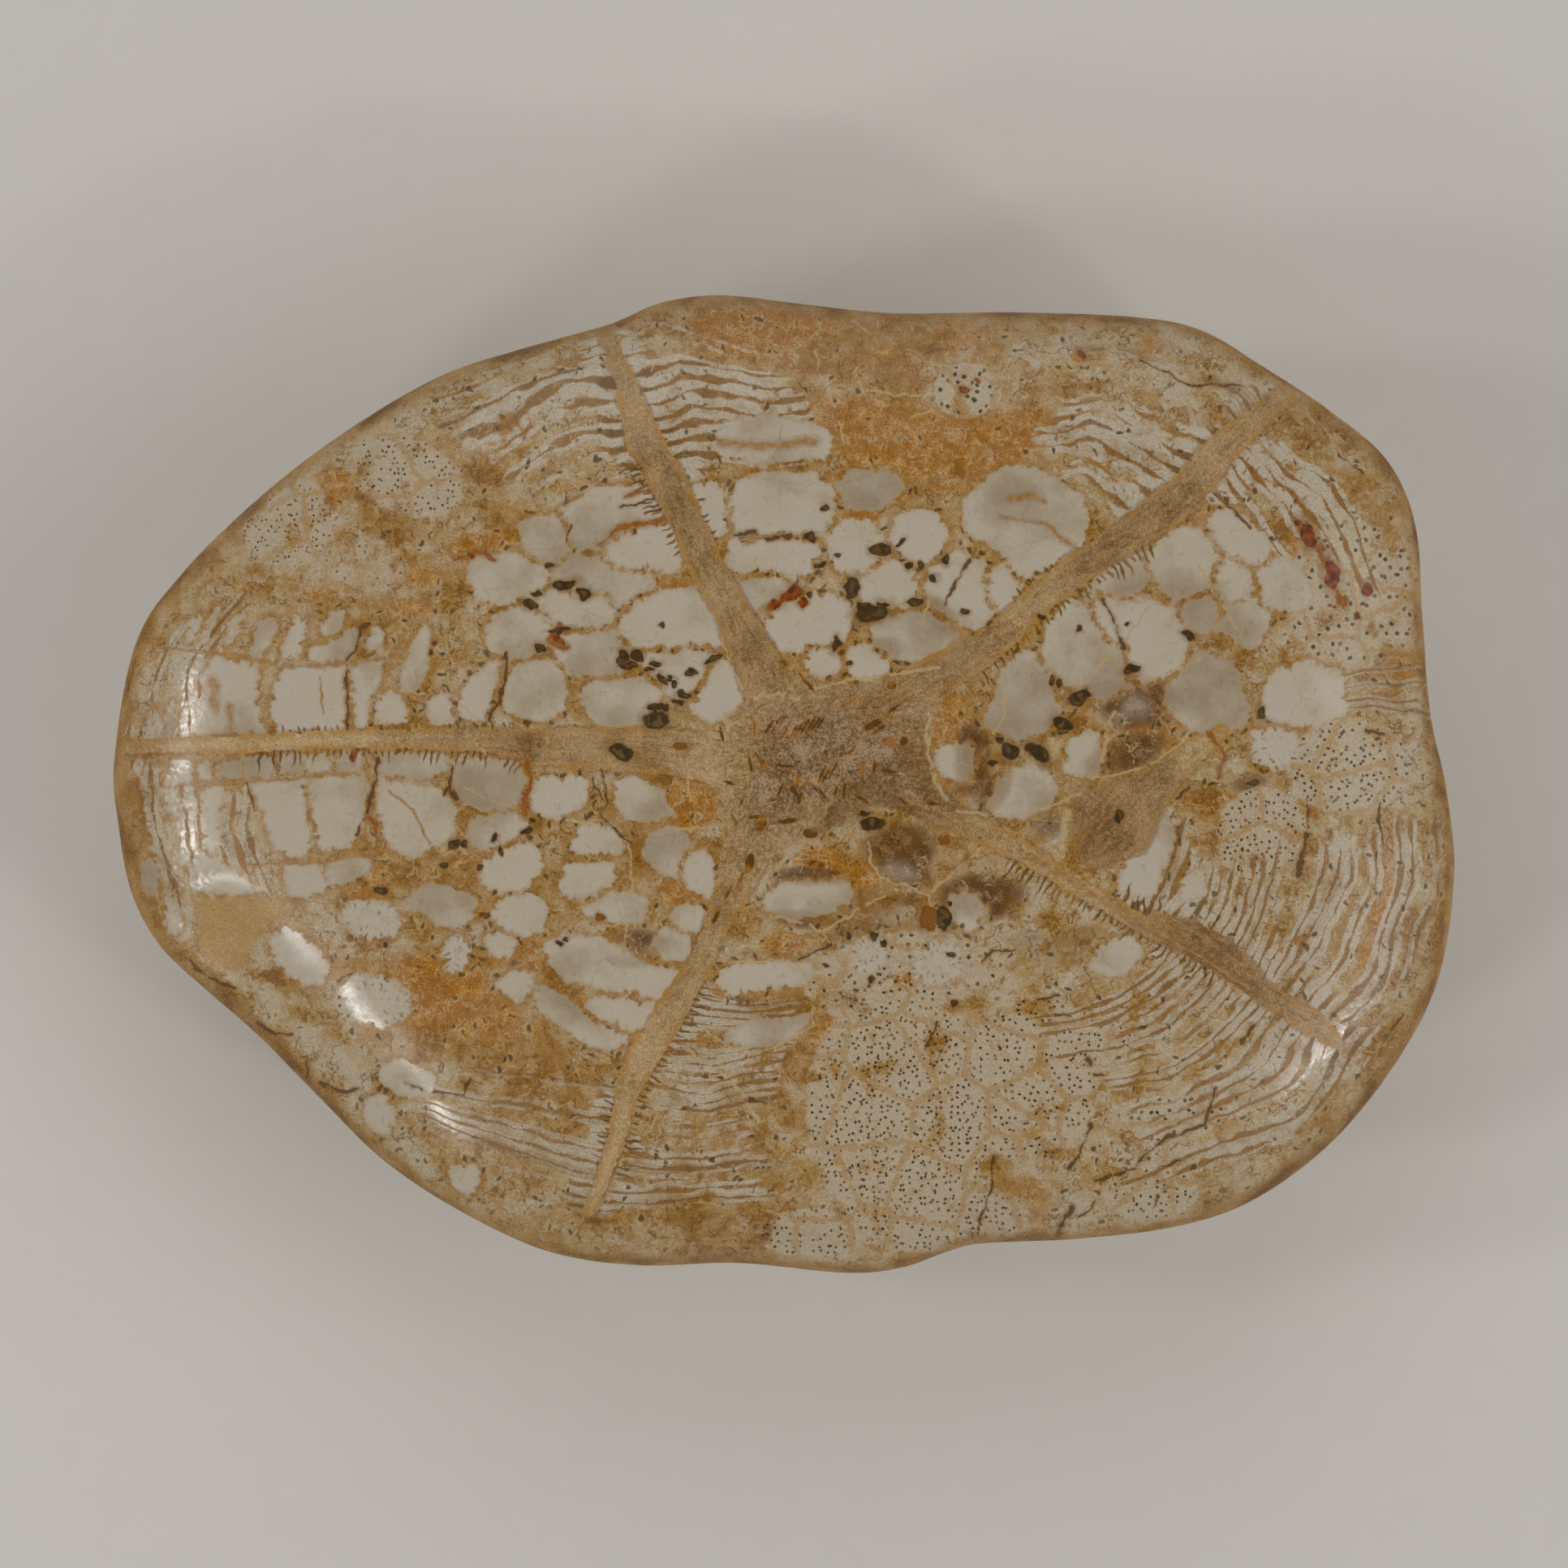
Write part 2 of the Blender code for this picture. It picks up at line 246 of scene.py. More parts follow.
# The five food grooves, from the margin inwards: x, y, half width in pixels and tone, from 0 for brown to 1 for pale.
LEFT_RAY: Path = ((148, 922, 9, 0.6), (250, 918, 9, 1), (300, 918, 11, 1), (400, 912, 11, 1), (500, 911, 13, 0.8),
                  (600, 912, 15, 0.6), (650, 920, 22, 0.45), (700, 922, 25, 0.7), (800, 925, 28, 0.6),
                  (880, 935, 30, 0.85), (980, 940, 30, 0.7))
UPPER_LEFT_RAY: Path = ((742, 405, 8, 0.6), (762, 450, 11, 0.65), (780, 500, 17, 0.7), (797, 550, 24, 0.6),
                        (826, 600, 23, 0.5), (850, 650, 21, 0.5), (872, 700, 22, 0.6), (900, 750, 22, 0.6),
                        (925, 800, 28, 0.45), (960, 880, 34, 0.7))
UPPER_RIGHT_RAY: Path = ((1600, 478, 12, 0.6), (1560, 505, 14, 0.65), (1500, 560, 22, 0.7), (1460, 610, 24, 0.55),
                         (1420, 640, 24, 0.45), (1370, 675, 20, 0.4), (1330, 700, 20, 0.5), (1290, 730, 20, 0.75),
                         (1250, 770, 20, 0.75), (1210, 800, 22, 0.5), (1160, 830, 26, 0.6), (1080, 880, 30, 0.6))
LOWER_RIGHT_RAY: Path = ((1665, 1300, 3, 0.6), (1620, 1262, 17, 0.6), (1560, 1225, 14, 0.45),
                         (1530, 1205, 12, 0.2), (1500, 1185, 12, 0.2),
                         (1450, 1160, 12, 0.3), (1400, 1135, 12, 0.55), (1350, 1105, 12, 0.8),
                         (1300, 1075, 12, 0.8),
                         (1250, 1045, 14, 0.7), (1200, 1020, 16, 0.7), (1165, 1000, 22, 0.4), (1090, 960, 30, 0.35))
LOWER_LEFT_RAY: Path = ((728, 1490, 8, 0.9), (745, 1450, 9, 1), (762, 1400, 11, 0.9), (772, 1350, 14, 0.75),
                        (795, 1300, 20, 0.9), (825, 1250, 20, 0.75), (855, 1200, 17, 0.7), (880, 1150, 15, 0.65),
                        (905, 1090, 24, 0.7), (920, 1050, 30, 0.7), (960, 960, 34, 0.65))
# A channel of sediment beside the middle at the right, and the wedge that the lower right groove ends in.
CHANNEL: Path = ((1505, 903, 11, 0.9), (1465, 930, 18, 0.8), (1435, 958, 22, 0.5), (1400, 990, 38, 0.45),
                 (1375, 1020, 48, 0.4), (1352, 1045, 26, 0.4))
WEDGE: Path = ((1425, 1128, 4, 0.45), (1470, 1150, 16, 0.4), (1505, 1176, 22, 0.35), (1540, 1200, 14, 0.4))
RAYS: tuple[Path, ...] = (LEFT_RAY, UPPER_LEFT_RAY, UPPER_RIGHT_RAY, LOWER_RIGHT_RAY, LOWER_LEFT_RAY, CHANNEL,
 WEDGE)

# Stretches of plate edge beside the grooves that are cut into teeth, with the strength of the teeth.
TOOTHED_EDGES: tuple[tuple[Outline, float], ...] = (
    ((300, 931, 400, 925, 500, 926, 600, 930, 650, 944), 1.0), ((330, 902, 450, 898, 600, 895, 640, 892), 0.35),
    ((772, 560, 800, 612, 824, 655, 845, 690), 1.0), ((852, 600, 874, 655, 896, 705), 0.5),
    ((1195, 838, 1258, 785, 1300, 752, 1345, 722, 1380, 700, 1425, 672), 1.0),
    ((1240, 745, 1290, 705, 1360, 655), 0.35),
    ((1230, 1060, 1290, 1090, 1325, 1108, 1370, 1135, 1425, 1166, 1465, 1186, 1520, 1215), 1.0),
    ((1370, 1100, 1400, 1118, 1440, 1128), 1.0),
    ((872, 1205, 846, 1255, 815, 1310, 790, 1360, 778, 1410, 762, 1460), 1.0),
    ((762, 1340, 748, 1395, 735, 1440), 0.6),
)

# The sediment that fills the middle.
MOUTH: Outline = (
    870, 900, 905, 880, 940, 850, 1000, 835, 1060, 845, 1120, 850, 1150, 870, 1145, 920, 1150, 960, 1170, 985, 1150,
    1000, 1090, 990, 1050, 1010, 1000, 1030, 960, 1050, 930, 1070, 905, 1060, 890, 1010, 885, 950, 870, 930,
)

# Zones of stripes, where the plates are cut across their lamellae. Each has how plain and grey it is, and guide lines
# with the number of stripes that lie between the first guide and this one.
STRIPE_ZONES: tuple[tuple[float, tuple[tuple[float, Outline], ...]], ...] = (
    (0.1, ((0, (150, 905, 155, 850, 180, 790, 215, 745)), (7, (250, 905, 252, 850, 280, 780, 320, 730)))),
    (0.1, ((0, (152, 935, 158, 1000, 178, 1080, 200, 1130)),
           (8, (318, 960, 322, 1010, 334, 1060, 352, 1110)))),
    (0.2, ((0, (520, 482, 600, 448, 680, 425, 755, 405)), (4, (545, 535, 610, 500, 690, 470, 765, 452)),
           (7, (600, 600, 650, 562, 710, 535, 775, 520)), (10, (660, 645, 700, 622, 750, 595, 795, 585)))),
    (0.1, ((0, (755, 405, 800, 398, 860, 412, 930, 432)), (3, (775, 470, 840, 455, 920, 462, 980, 468)),
           (7, (800, 540, 860, 535, 940, 530, 1020, 530)), (10, (830, 600, 900, 590, 1000, 585)))),
    (0.7, ((0, (1300, 400, 1400, 402, 1490, 425, 1575, 475)),
            (4, (1290, 455, 1385, 452, 1470, 480, 1530, 530)))),
    (0.05, ((0, (1285, 470, 1380, 462, 1460, 490, 1520, 540)),
            (4, (1270, 545, 1340, 535, 1410, 565, 1450, 605)),
            (7, (1300, 600, 1330, 600, 1365, 635, 1395, 660)))),
    (0.4, ((0, (1600, 845, 1680, 820, 1755, 812)), (7, (1610, 890, 1690, 885, 1770, 900)))),
    (0.0, ((0, (1620, 500, 1690, 560, 1725, 620, 1742, 720)),
           (4, (1570, 530, 1640, 590, 1685, 650, 1705, 740)),
           (8, (1520, 570, 1580, 625, 1625, 690, 1650, 760)),
           (11, (1480, 610, 1530, 660, 1560, 720, 1580, 790)))),
    (0.25, ((0, (1785, 1000, 1780, 1100, 1755, 1180, 1700, 1280)),
            (6, (1690, 1000, 1685, 1090, 1650, 1180, 1600, 1245)),
            (12, (1600, 1020, 1590, 1090, 1560, 1160, 1530, 1210)),
            (19, (1510, 1050, 1490, 1100, 1465, 1150, 1440, 1180)),
            (25, (1430, 990, 1400, 1060, 1370, 1110, 1350, 1130)))),
    (0.25, ((0, (1750, 1230, 1690, 1330, 1600, 1420, 1450, 1480, 1330, 1500)),
            (4, (1640, 1265, 1590, 1340, 1510, 1390, 1400, 1430)),
            (9, (1560, 1240, 1510, 1300, 1440, 1340, 1350, 1350)),
            (15, (1490, 1200, 1440, 1260, 1380, 1290, 1280, 1300)),
            (22, (1420, 1160, 1380, 1200, 1320, 1230, 1240, 1240)))),
    (0.5, ((0, (500, 1400, 600, 1460, 740, 1500)), (11, (500, 1310, 590, 1310, 680, 1325, 790, 1335)))),
    (0.35, ((0, (730, 1500, 850, 1505, 960, 1500)), (8, (790, 1385, 860, 1390, 950, 1385)),
            (16, (820, 1300, 880, 1310, 1000, 1290)), (24, (860, 1210, 930, 1225, 1000, 1220)))),
)

# Zones of cut tubercles and pores, as x, y, half width, half height and turn in degrees, with the share of the places
# in them that hold a dot and the size of the dots.
PORE_ZONES: tuple[tuple[Patch, float, float], ...] = (
    ((1110, 1370, 115, 145, 0), 0.95, 1.0), ((1270, 1330, 85, 105, 0), 0.7, 1.0),
    ((1450, 1378, 60, 28, -10), 0.8, 1.4),
    ((1420, 1470, 60, 34, -8), 0.7, 1.0), ((1335, 1275, 70, 28, 0), 0.5, 1.0), ((1662, 945, 75, 58, 0), 0.95, 1.1),
    ((1555, 1030, 55, 60, 0), 0.85, 1.0), ((1672, 735, 90, 90, 20), 0.75, 1.5), ((352, 640, 62, 58, 35), 0.6, 0.8),
    ((500, 585, 75, 48, 25), 0.55, 0.9), ((1190, 482, 38, 34, 0), 0.9, 1.5), ((1000, 1520, 70, 30, 0), 0.7, 0.9),
    ((1125, 1195, 115, 48, 0), 0.5, 1.5), ((460, 1232, 48, 32, 0), 0.6, 1.3), ((455, 1130, 40, 24, 0), 0.3, 1.0),
    ((1080, 1220, 90, 40, 0), 0.6, 1.2), ((1150, 1500, 120, 45, 0), 0.7, 1.0),
    ((445, 700, 60, 40, 0), 0.35, 1.0),
)

# Stains that soaked into the stone: x, y, half width, half height, turn in degrees and strength.
ORANGE_STAINS: tuple[Patch, ...] = (
    (853, 992, 27, 28, 0, 1.0), (940, 402, 90, 22, 0, 0.8), (840, 1100, 26, 16, 10, 0.8),
    (525, 1225, 50, 45, 0, 0.75),
    (570, 1210, 35, 25, 0, 0.6), (590, 1250, 60, 30, 0, 0.5), (620, 1270, 60, 25, 10, 0.35),
    (920, 425, 60, 20, 0, 0.55),
    (1090, 440, 40, 15, 0, 0.4), (1180, 410, 30, 25, 0, 0.45), (600, 935, 40, 8, 0, 0.8), (615, 740, 25, 6, 0, 0.5),
    (580, 675, 25, 15, -20, 0.7), (620, 665, 30, 15, 0, 0.5), (410, 600, 25, 25, 0, 0.5),
    (385, 735, 15, 12, 0, 0.5),
    (510, 750, 30, 12, 0, 0.4), (520, 710, 30, 12, 0, 0.5), (465, 1080, 25, 12, 0, 0.5),
    (450, 1103, 35, 10, 0, 0.6),
    (425, 1190, 50, 15, 0, 0.4), (590, 1125, 12, 15, 0, 0.6), (665, 1158, 20, 12, -30, 0.8),
    (740, 1130, 13, 12, 0, 0.9), (725, 1240, 20, 12, 30, 0.5), (620, 1185, 25, 10, 0, 0.4),
    (650, 1180, 15, 20, 0, 0.6),
    (1166, 915, 15, 52, 0, 1.0), (1175, 865, 18, 12, 0, 0.6), (1165, 1035, 7, 8, 0, 0.9),
    (1010, 1060, 30, 14, 0, 1.0),
    (1050, 1080, 34, 16, 0, 0.8), (965, 1163, 26, 13, 0, 1.0), (1020, 1280, 22, 28, 0, 0.5),
    (1175, 1270, 22, 22, 0, 0.25), (1420, 900, 45, 25, -25, 0.55), (1480, 835, 30, 8, -40, 0.6),
    (1465, 640, 40, 18, -20, 0.45), (1290, 840, 12, 25, -30, 0.4), (1330, 875, 14, 14, 0, 0.4),
    (1700, 1110, 14, 45, 10, 0.6), (1680, 1180, 10, 30, 20, 0.5), (1735, 825, 25, 25, 0, 0.5),
    (1670, 600, 30, 20, 30, 0.35), (1685, 625, 12, 8, 0, 0.5), (1590, 665, 12, 35, -15, 0.4),
    (1270, 1480, 30, 28, 0, 0.4), (1330, 440, 10, 7, 0, 0.8), (1420, 425, 25, 10, 0, 0.4),
    (1515, 1370, 25, 12, -20, 0.5), (945, 570, 40, 12, 0, 0.45), (1190, 600, 60, 8, 0, 0.5),
    (1110, 615, 12, 12, 0, 0.6),
    (1165, 660, 15, 20, 0, 0.5), (1150, 670, 20, 8, -20, 0.6), (1060, 635, 30, 8, 0, 0.6),
    (1035, 600, 8, 20, 0, 0.5),
    (1095, 680, 15, 10, 0, 0.7), (880, 800, 22, 14, 0, 0.6), (1045, 800, 18, 20, 0, 0.5),
    (905, 755, 20, 6, -20, 0.5),
    (900, 672, 15, 8, 0, 0.5), (815, 725, 40, 10, -10, 0.55), (690, 790, 15, 20, 0, 0.6),
    (715, 810, 25, 8, 35, 0.6),
    (1240, 735, 25, 15, -30, 0.35), (1225, 700, 20, 10, 0, 0.3),
)
BROWN_STAINS: tuple[Patch, ...] = (
    (1110, 1045, 40, 34, 0, 1.0), (1125, 1080, 25, 15, 0, 0.6), (1200, 935, 22, 46, 0, 0.95),
    (1190, 965, 15, 22, 20, 0.7),
    (1225, 975, 16, 28, 30, 0.9), (1210, 1105, 50, 26, 0, 1.0), (1010, 1080, 50, 12, 0, 0.7),
    (1000, 1134, 48, 11, 5, 0.6),
    (1390, 930, 55, 24, -20, 0.8), (1405, 866, 44, 32, 0, 1.0), (1360, 1010, 48, 48, 0, 0.55),
    (1430, 975, 30, 12, -30, 0.5), (1290, 1010, 25, 25, 0, 0.4), (1110, 1110, 30, 10, -10, 0.6),
    (790, 1160, 38, 15, 10, 0.6), (775, 1185, 30, 9, 10, 0.5), (930, 1240, 48, 11, 3, 0.6),
    (1480, 1160, 52, 22, 20, 0.65),
    (1330, 1155, 35, 14, -10, 0.45), (1160, 760, 14, 30, -35, 0.7), (1085, 800, 28, 14, 0, 0.6),
    (1540, 965, 25, 14, -15, 0.6), (1300, 1170, 60, 24, 10, 0.35), (1060, 1130, 60, 40, 0, 0.4),
    (960, 1250, 50, 20, 0, 0.35),
)
PALE_STAINS: tuple[Patch, ...] = (
    (350, 640, 60, 60, 35, 0.9), (1400, 560, 90, 50, 25, 0.4), (1110, 1410, 120, 110, 0, 0.8),
    (1330, 1400, 90, 60, 0, 0.5),
    (470, 575, 80, 30, 30, 0.5), (1660, 940, 70, 60, 0, 0.6), (1560, 1020, 60, 60, 0, 0.4),
    (1190, 480, 60, 36, 0, 0.5),
    (1080, 1520, 120, 30, 0, 0.4), (1700, 700, 60, 80, 0, 0.3), (1310, 700, 30, 14, -40, 0.4),
    (1250, 1330, 60, 60, 0, 0.5),
    (230, 1130, 30, 40, 0, 0.5), (1250, 1280, 200, 110, 0, 0.5), (1430, 440, 130, 50, 20, 0.7),
    (1460, 1390, 170, 80, -30, 0.6),
    (1085, 705, 120, 60, 0, 0.3), (460, 1232, 46, 30, 0, 0.9), (1600, 850, 60, 60, 0, 0.3),
    (330, 1240, 56, 22, 45, 0.9), (405, 1300, 60, 24, 45, 0.9), (480, 1395, 60, 18, 45, 0.8),
    (1745, 920, 26, 110, 0, 0.6),
    (290, 780, 110, 70, -50, 0.5), (640, 500, 120, 60, -20, 0.4), (430, 690, 70, 30, -30, 0.5),
)
TAN_STAINS: tuple[Patch, ...] = (
    (170, 1000, 26, 110, 0, 0.9), (1090, 1100, 130, 60, 0, 0.5), (1040, 425, 150, 40, 0, 1.0),
    (1300, 400, 90, 20, 0, 0.5), (560, 1190, 60, 40, 20, 0.4),
    (640, 1290, 90, 40, 15, 0.7), (680, 1400, 110, 60, 15, 0.35), (990, 1290, 36, 60, 0, 0.7),
    (1180, 1240, 40, 24, 0, 0.6),
    (760, 1060, 110, 90, 0, 0.35), (540, 1060, 100, 50, 0, 0.45), (480, 730, 110, 60, 0, 0.4),
    (400, 720, 60, 60, 0, 0.5),
    (1730, 825, 26, 24, 0, 0.9), (1730, 1280, 30, 60, 30, 0.7), (900, 1440, 60, 60, 0, 0.5),
    (300, 700, 60, 30, 40, 0.4),
    (600, 560, 60, 50, 20, 0.4), (1230, 790, 40, 30, 0, 0.5), (940, 830, 60, 24, 0, 0.4),
    (620, 600, 50, 40, 0, 0.4),
)
# The field of orange sediment near the top margin, and the low chip at the left, which is smooth tan.
ORANGE_FIELD: Outline = (
    1000, 500, 1040, 480, 1150, 495, 1290, 500, 1300, 545, 1250, 590, 1130, 600, 1050, 585, 1000, 540,
)
CHIP: Outline = (236, 1106, 345, 1110, 352, 1122, 322, 1142, 318, 1165, 290, 1200, 262, 1192, 243, 1150)

# Pits and fillings between the plates: x, y, half width, half height and turn in degrees.
DARK_PITS: tuple[Patch, ...] = (
    (655, 745, 10, 6, 15), (690, 777, 14, 4, -5), (667, 800, 7, 6, 20), (769, 813, 7, 10, 0), (784, 809, 8, 6, 0),
    (775, 821, 11, 5, 0), (808, 818, 7, 4, 0), (800, 826, 7, 3, 0), (817, 838, 5, 7, -30), (826, 836, 5, 4, 0),
    (831, 843, 4, 6, 20), (843, 857, 9, 4, 20), (836, 865, 8, 3, 0), (808, 872, 10, 5, 0), (820, 873, 6, 4, -10),
    (678, 697, 7, 4, 0), (662, 732, 6, 4, 0), (999, 733, 4, 4, 0), (1050, 727, 8, 14, 10), (1075, 756, 21, 10, -10),
    (1088, 745, 8, 5, 0), (1128, 742, 10, 5, -10), (1000, 662, 7, 6, 0), (1012, 697, 8, 4, -10),
    (1032, 685, 4, 3, 0),
    (1085, 678, 12, 6, 0), (1110, 670, 8, 3, -50), (1150, 713, 6, 5, 0), (1135, 697, 5, 4, 0), (1167, 690, 4, 6, 0),
    (1232, 912, 6, 5, 0), (1223, 942, 5, 4, 0), (1310, 903, 6, 3, 0), (1297, 838, 3, 8, 0), (1306, 843, 4, 5, 0),
    (1465, 783, 9, 5, 30), (1170, 1114, 3, 3, 0), (1018, 1189, 4, 3, 0), (1074, 1208, 4, 4, 0),
    (1045, 1152, 4, 4, 0),
    (1078, 1153, 5, 6, 0), (1090, 1163, 3, 3, 0), (1172, 1176, 5, 3, 0), (1175, 1236, 5, 4, 0),
    (880, 812, 10, 5, -20),
    (852, 830, 6, 4, 0), (1030, 795, 5, 9, 0), (1047, 818, 4, 3, 0), (650, 1024, 8, 4, -30), (655, 1012, 4, 3, 0),
    (610, 1033, 4, 4, 0), (560, 1040, 8, 5, 0), (573, 1042, 5, 5, 0), (617, 1050, 3, 5, 0), (591, 1070, 4, 3, 0),
    (470, 1098, 7, 4, 0), (475, 1165, 4, 3, 0), (690, 1163, 5, 3, 0), (697, 1158, 3, 3, 0), (1545, 965, 8, 4, 0),
    (1555, 877, 4, 7, 0), (1065, 1003, 6, 3, 0), (1330, 775, 4, 4, 0), (1283, 760, 4, 3, 0), (1390, 770, 4, 3, 0),
    (815, 770, 3, 3, 0), (548, 1068, 5, 4, 0), (1120, 698, 5, 5, 0), (1190, 755, 5, 4, 0), (1018, 628, 5, 4, 0),
)
OLIVE_PITS: tuple[Patch, ...] = (
    (810, 888, 15, 12, 0), (765, 926, 15, 9, 30), (1280, 928, 17, 9, 35), (1245, 925, 9, 13, -30),
    (1330, 860, 14, 8, -20), (1310, 892, 12, 8, 10), (1395, 825, 10, 6, 0), (1163, 1132, 10, 14, 0),
    (1380, 1007, 5, 8, 0), (1075, 1015, 15, 8, 0), (697, 721, 14, 6, -10), (720, 733, 9, 7, 0),
    (1064, 748, 8, 6, 0),
)
AMBER_PITS: tuple[Patch, ...] = ((838, 920, 10, 5, 5), (1145, 1133, 11, 14, 0), (740, 1131, 5, 5, 0),
(1165, 1035, 5, 6, 0))
RUST_PITS: tuple[Patch, ...] = (
    (975, 733, 16, 8, -30), (955, 745, 10, 6, -20), (990, 742, 7, 6, 0), (1612, 660, 9, 16, -25),
    (1642, 708, 9, 20, -10), (1685, 727, 6, 8, 0), (435, 932, 4, 8, 0),
    (536, 793, 4, 3, 0), (531, 803, 3, 3, 0), (580, 685, 5, 3, 0), (765, 398, 8, 5, 20), (1333, 438, 6, 5, 0),
    (1189, 480, 5, 4, 0), (1205, 470, 4, 4, 0), (688, 787, 12, 4, 40), (1600, 645, 5, 4, 0), (1672, 760, 4, 4, 0),
)
# Needles and flecks in the sediment of the middle: half length, half width and turn.
NEEDLES: tuple[Patch, ...] = (
    (949, 896, 8, 1.4, -55), (956, 894, 9, 1.4, -58), (964, 891, 8, 1.3, -60), (971, 897, 9, 1.4, -62),
    (978, 903, 9, 1.5, -62), (985, 899, 10, 1.5, -60), (992, 896, 9, 1.5, -62), (999, 894, 9, 1.4, -60),
    (1006, 891, 9, 1.5, -58), (1013, 888, 8, 1.4, -60), (1077, 893, 13, 3.2, -28), (1082, 900, 9, 2, -32),
    (1108, 869, 11, 1.4, -42), (1099, 875, 10, 1.3, -40), (1013, 955, 9, 1.4, -65), (1020, 952, 11, 1.5, -60),
    (1027, 949, 9, 1.4, -62), (925, 942, 8, 1.4, 82), (936, 937, 8, 1.2, 62), (944, 946, 10, 1.3, 62),
    (968, 944, 9, 1.4, 5), (971, 952, 8, 1.3, 10), (984, 961, 8, 1.5, -80), (979, 975, 7, 2.2, 60),
    (986, 984, 6, 2.4, -70), (991, 967, 7, 1.3, -50), (1005, 972, 8, 1.3, 50), (1013, 978, 9, 1.3, 55),
    (1030, 978, 7, 1.4, -80), (1041, 975, 8, 1.5, -85), (1064, 948, 6, 1.9, -85), (1078, 946, 5, 2, -75),
    (962, 974, 8, 1.2, -60), (952, 986, 8, 1.2, -20), (935, 1007, 9, 1.8, 0), (938, 1018, 7, 4, -30),
    (972, 1012, 10, 2.4, -10), (999, 1027, 7, 5, 0), (924, 1064, 4, 9, 10), (1006, 1065, 7, 3, 0),
    (1096, 914, 6, 5, 0),
    (1114, 914, 4, 4, 0), (1099, 845, 4, 4, 0), (1146, 991, 9, 1.8, 0), (1116, 990, 9, 1.3, 40),
    (995, 842, 12, 1.8, 50),
    (905, 1010, 6, 1.5, 60), (915, 985, 7, 1.3, -70), (900, 965, 6, 1.4, 20), (1050, 925, 7, 1.3, -50),
    (1062, 985, 8, 1.3, 30), (1095, 950, 7, 1.3, 10), (890, 905, 7, 1.4, 75), (930, 900, 7, 1.2, 85),
    (1045, 868, 8, 1.3, -30), (912, 1085, 8, 1.8, -65), (898, 1100, 9, 1.6, -60), (884, 1128, 9, 1.8, -62),
)

# Dark cracks and seams, from end to end, with their width in pixels.
CRACKS: tuple[tuple[Outline, float], ...] = (
    ((428, 820, 427, 850, 430, 880, 428, 900), 4), ((428, 815, 440, 795, 445, 775, 455, 770), 5),
    ((466, 935, 464, 955, 458, 985, 452, 1005), 4), ((440, 1030, 448, 1010), 3),
    ((625, 805, 622, 840, 615, 865, 602, 888), 4), ((558, 945, 555, 970, 548, 980), 4), ((555, 975, 562, 985), 7),
    ((730, 960, 742, 985), 3), ((742, 950, 750, 990), 3), ((740, 1003, 760, 1025, 778, 1040), 3),
    ((704, 648, 698, 665), 3), ((770, 583, 792, 577), 3), ((765, 625, 800, 620), 3), ((795, 632, 815, 628), 3),
    ((905, 660, 930, 655), 5), ((945, 665, 975, 660), 6), ((305, 965, 315, 1000), 3),
    ((1225, 1425, 1222, 1445, 1225, 1460, 1218, 1475, 1210, 1500, 1207, 1515), 4),
    ((1345, 1385, 1340, 1400, 1330, 1425, 1318, 1440), 4),
    ((1498, 1342, 1490, 1370, 1485, 1385, 1460, 1395, 1440, 1400, 1410, 1425, 1400, 1440, 1370, 1450, 1350, 1455),
    4),
    ((1430, 1438, 1460, 1430), 3), ((1320, 1490, 1308, 1510, 1305, 1525), 8),
    ((1350, 1480, 1345, 1490, 1330, 1500), 4), ((1427, 1475, 1422, 1488), 3), ((1612, 985, 1612, 1020), 3),
    ((1611, 1028, 1605, 1050, 1600, 1080), 7), ((1545, 1265, 1530, 1285), 6),
    ((1700, 990, 1698, 1010, 1705, 1040), 3), ((1685, 900, 1705, 905), 5),
    ((1405, 445, 1440, 460, 1465, 475, 1530, 475), 3), ((1155, 1260, 1143, 1290), 3), ((925, 1355, 945, 1360), 5),
    ((1280, 1232, 1305, 1227), 4), ((1300, 1250, 1320, 1252), 4), ((1340, 1305, 1345, 1312), 5),
    ((1350, 1325, 1360, 1325), 5), ((235, 1183, 250, 1200, 270, 1212, 290, 1218), 5),
    ((318, 1260, 340, 1275, 360, 1275), 5), ((395, 1335, 420, 1345, 440, 1343), 5), ((378, 1310, 380, 1325), 4),
    ((500, 1335, 520, 1343), 4), ((535, 1346, 572, 1350, 575, 1340, 580, 1330), 4),
    ((1210, 1185, 1225, 1172, 1250, 1172), 4), ((985, 1183, 1010, 1172, 1025, 1165), 3),
    ((1088, 1208, 1100, 1203), 3), ((1705, 1285, 1730, 1250), 3), ((1650, 560, 1680, 585), 3),
    ((1495, 607, 1540, 650), 3), ((1465, 970, 1450, 985), 4), ((158, 850, 165, 820, 172, 805), 3),
    ((1360, 740, 1372, 765, 1386, 800), 5), ((1300, 905, 1322, 880, 1340, 850), 4),
    ((1195, 690, 1180, 715, 1165, 745), 4),
)
RUST_SEAMS: tuple[tuple[Outline, float], ...] = (
    ((452, 1005, 462, 1015, 466, 1035), 7), ((770, 612, 800, 605), 5),
    ((650, 940, 655, 960, 648, 985, 647, 1005), 8),
    ((740, 670, 765, 650, 800, 645, 820, 640), 6), ((690, 770, 676, 790, 700, 800), 5),
    ((560, 690, 590, 680, 610, 690), 5), ((1490, 905, 1510, 930, 1500, 960), 5),
    ((1604, 645, 1622, 672, 1636, 700, 1654, 742), 11),
)
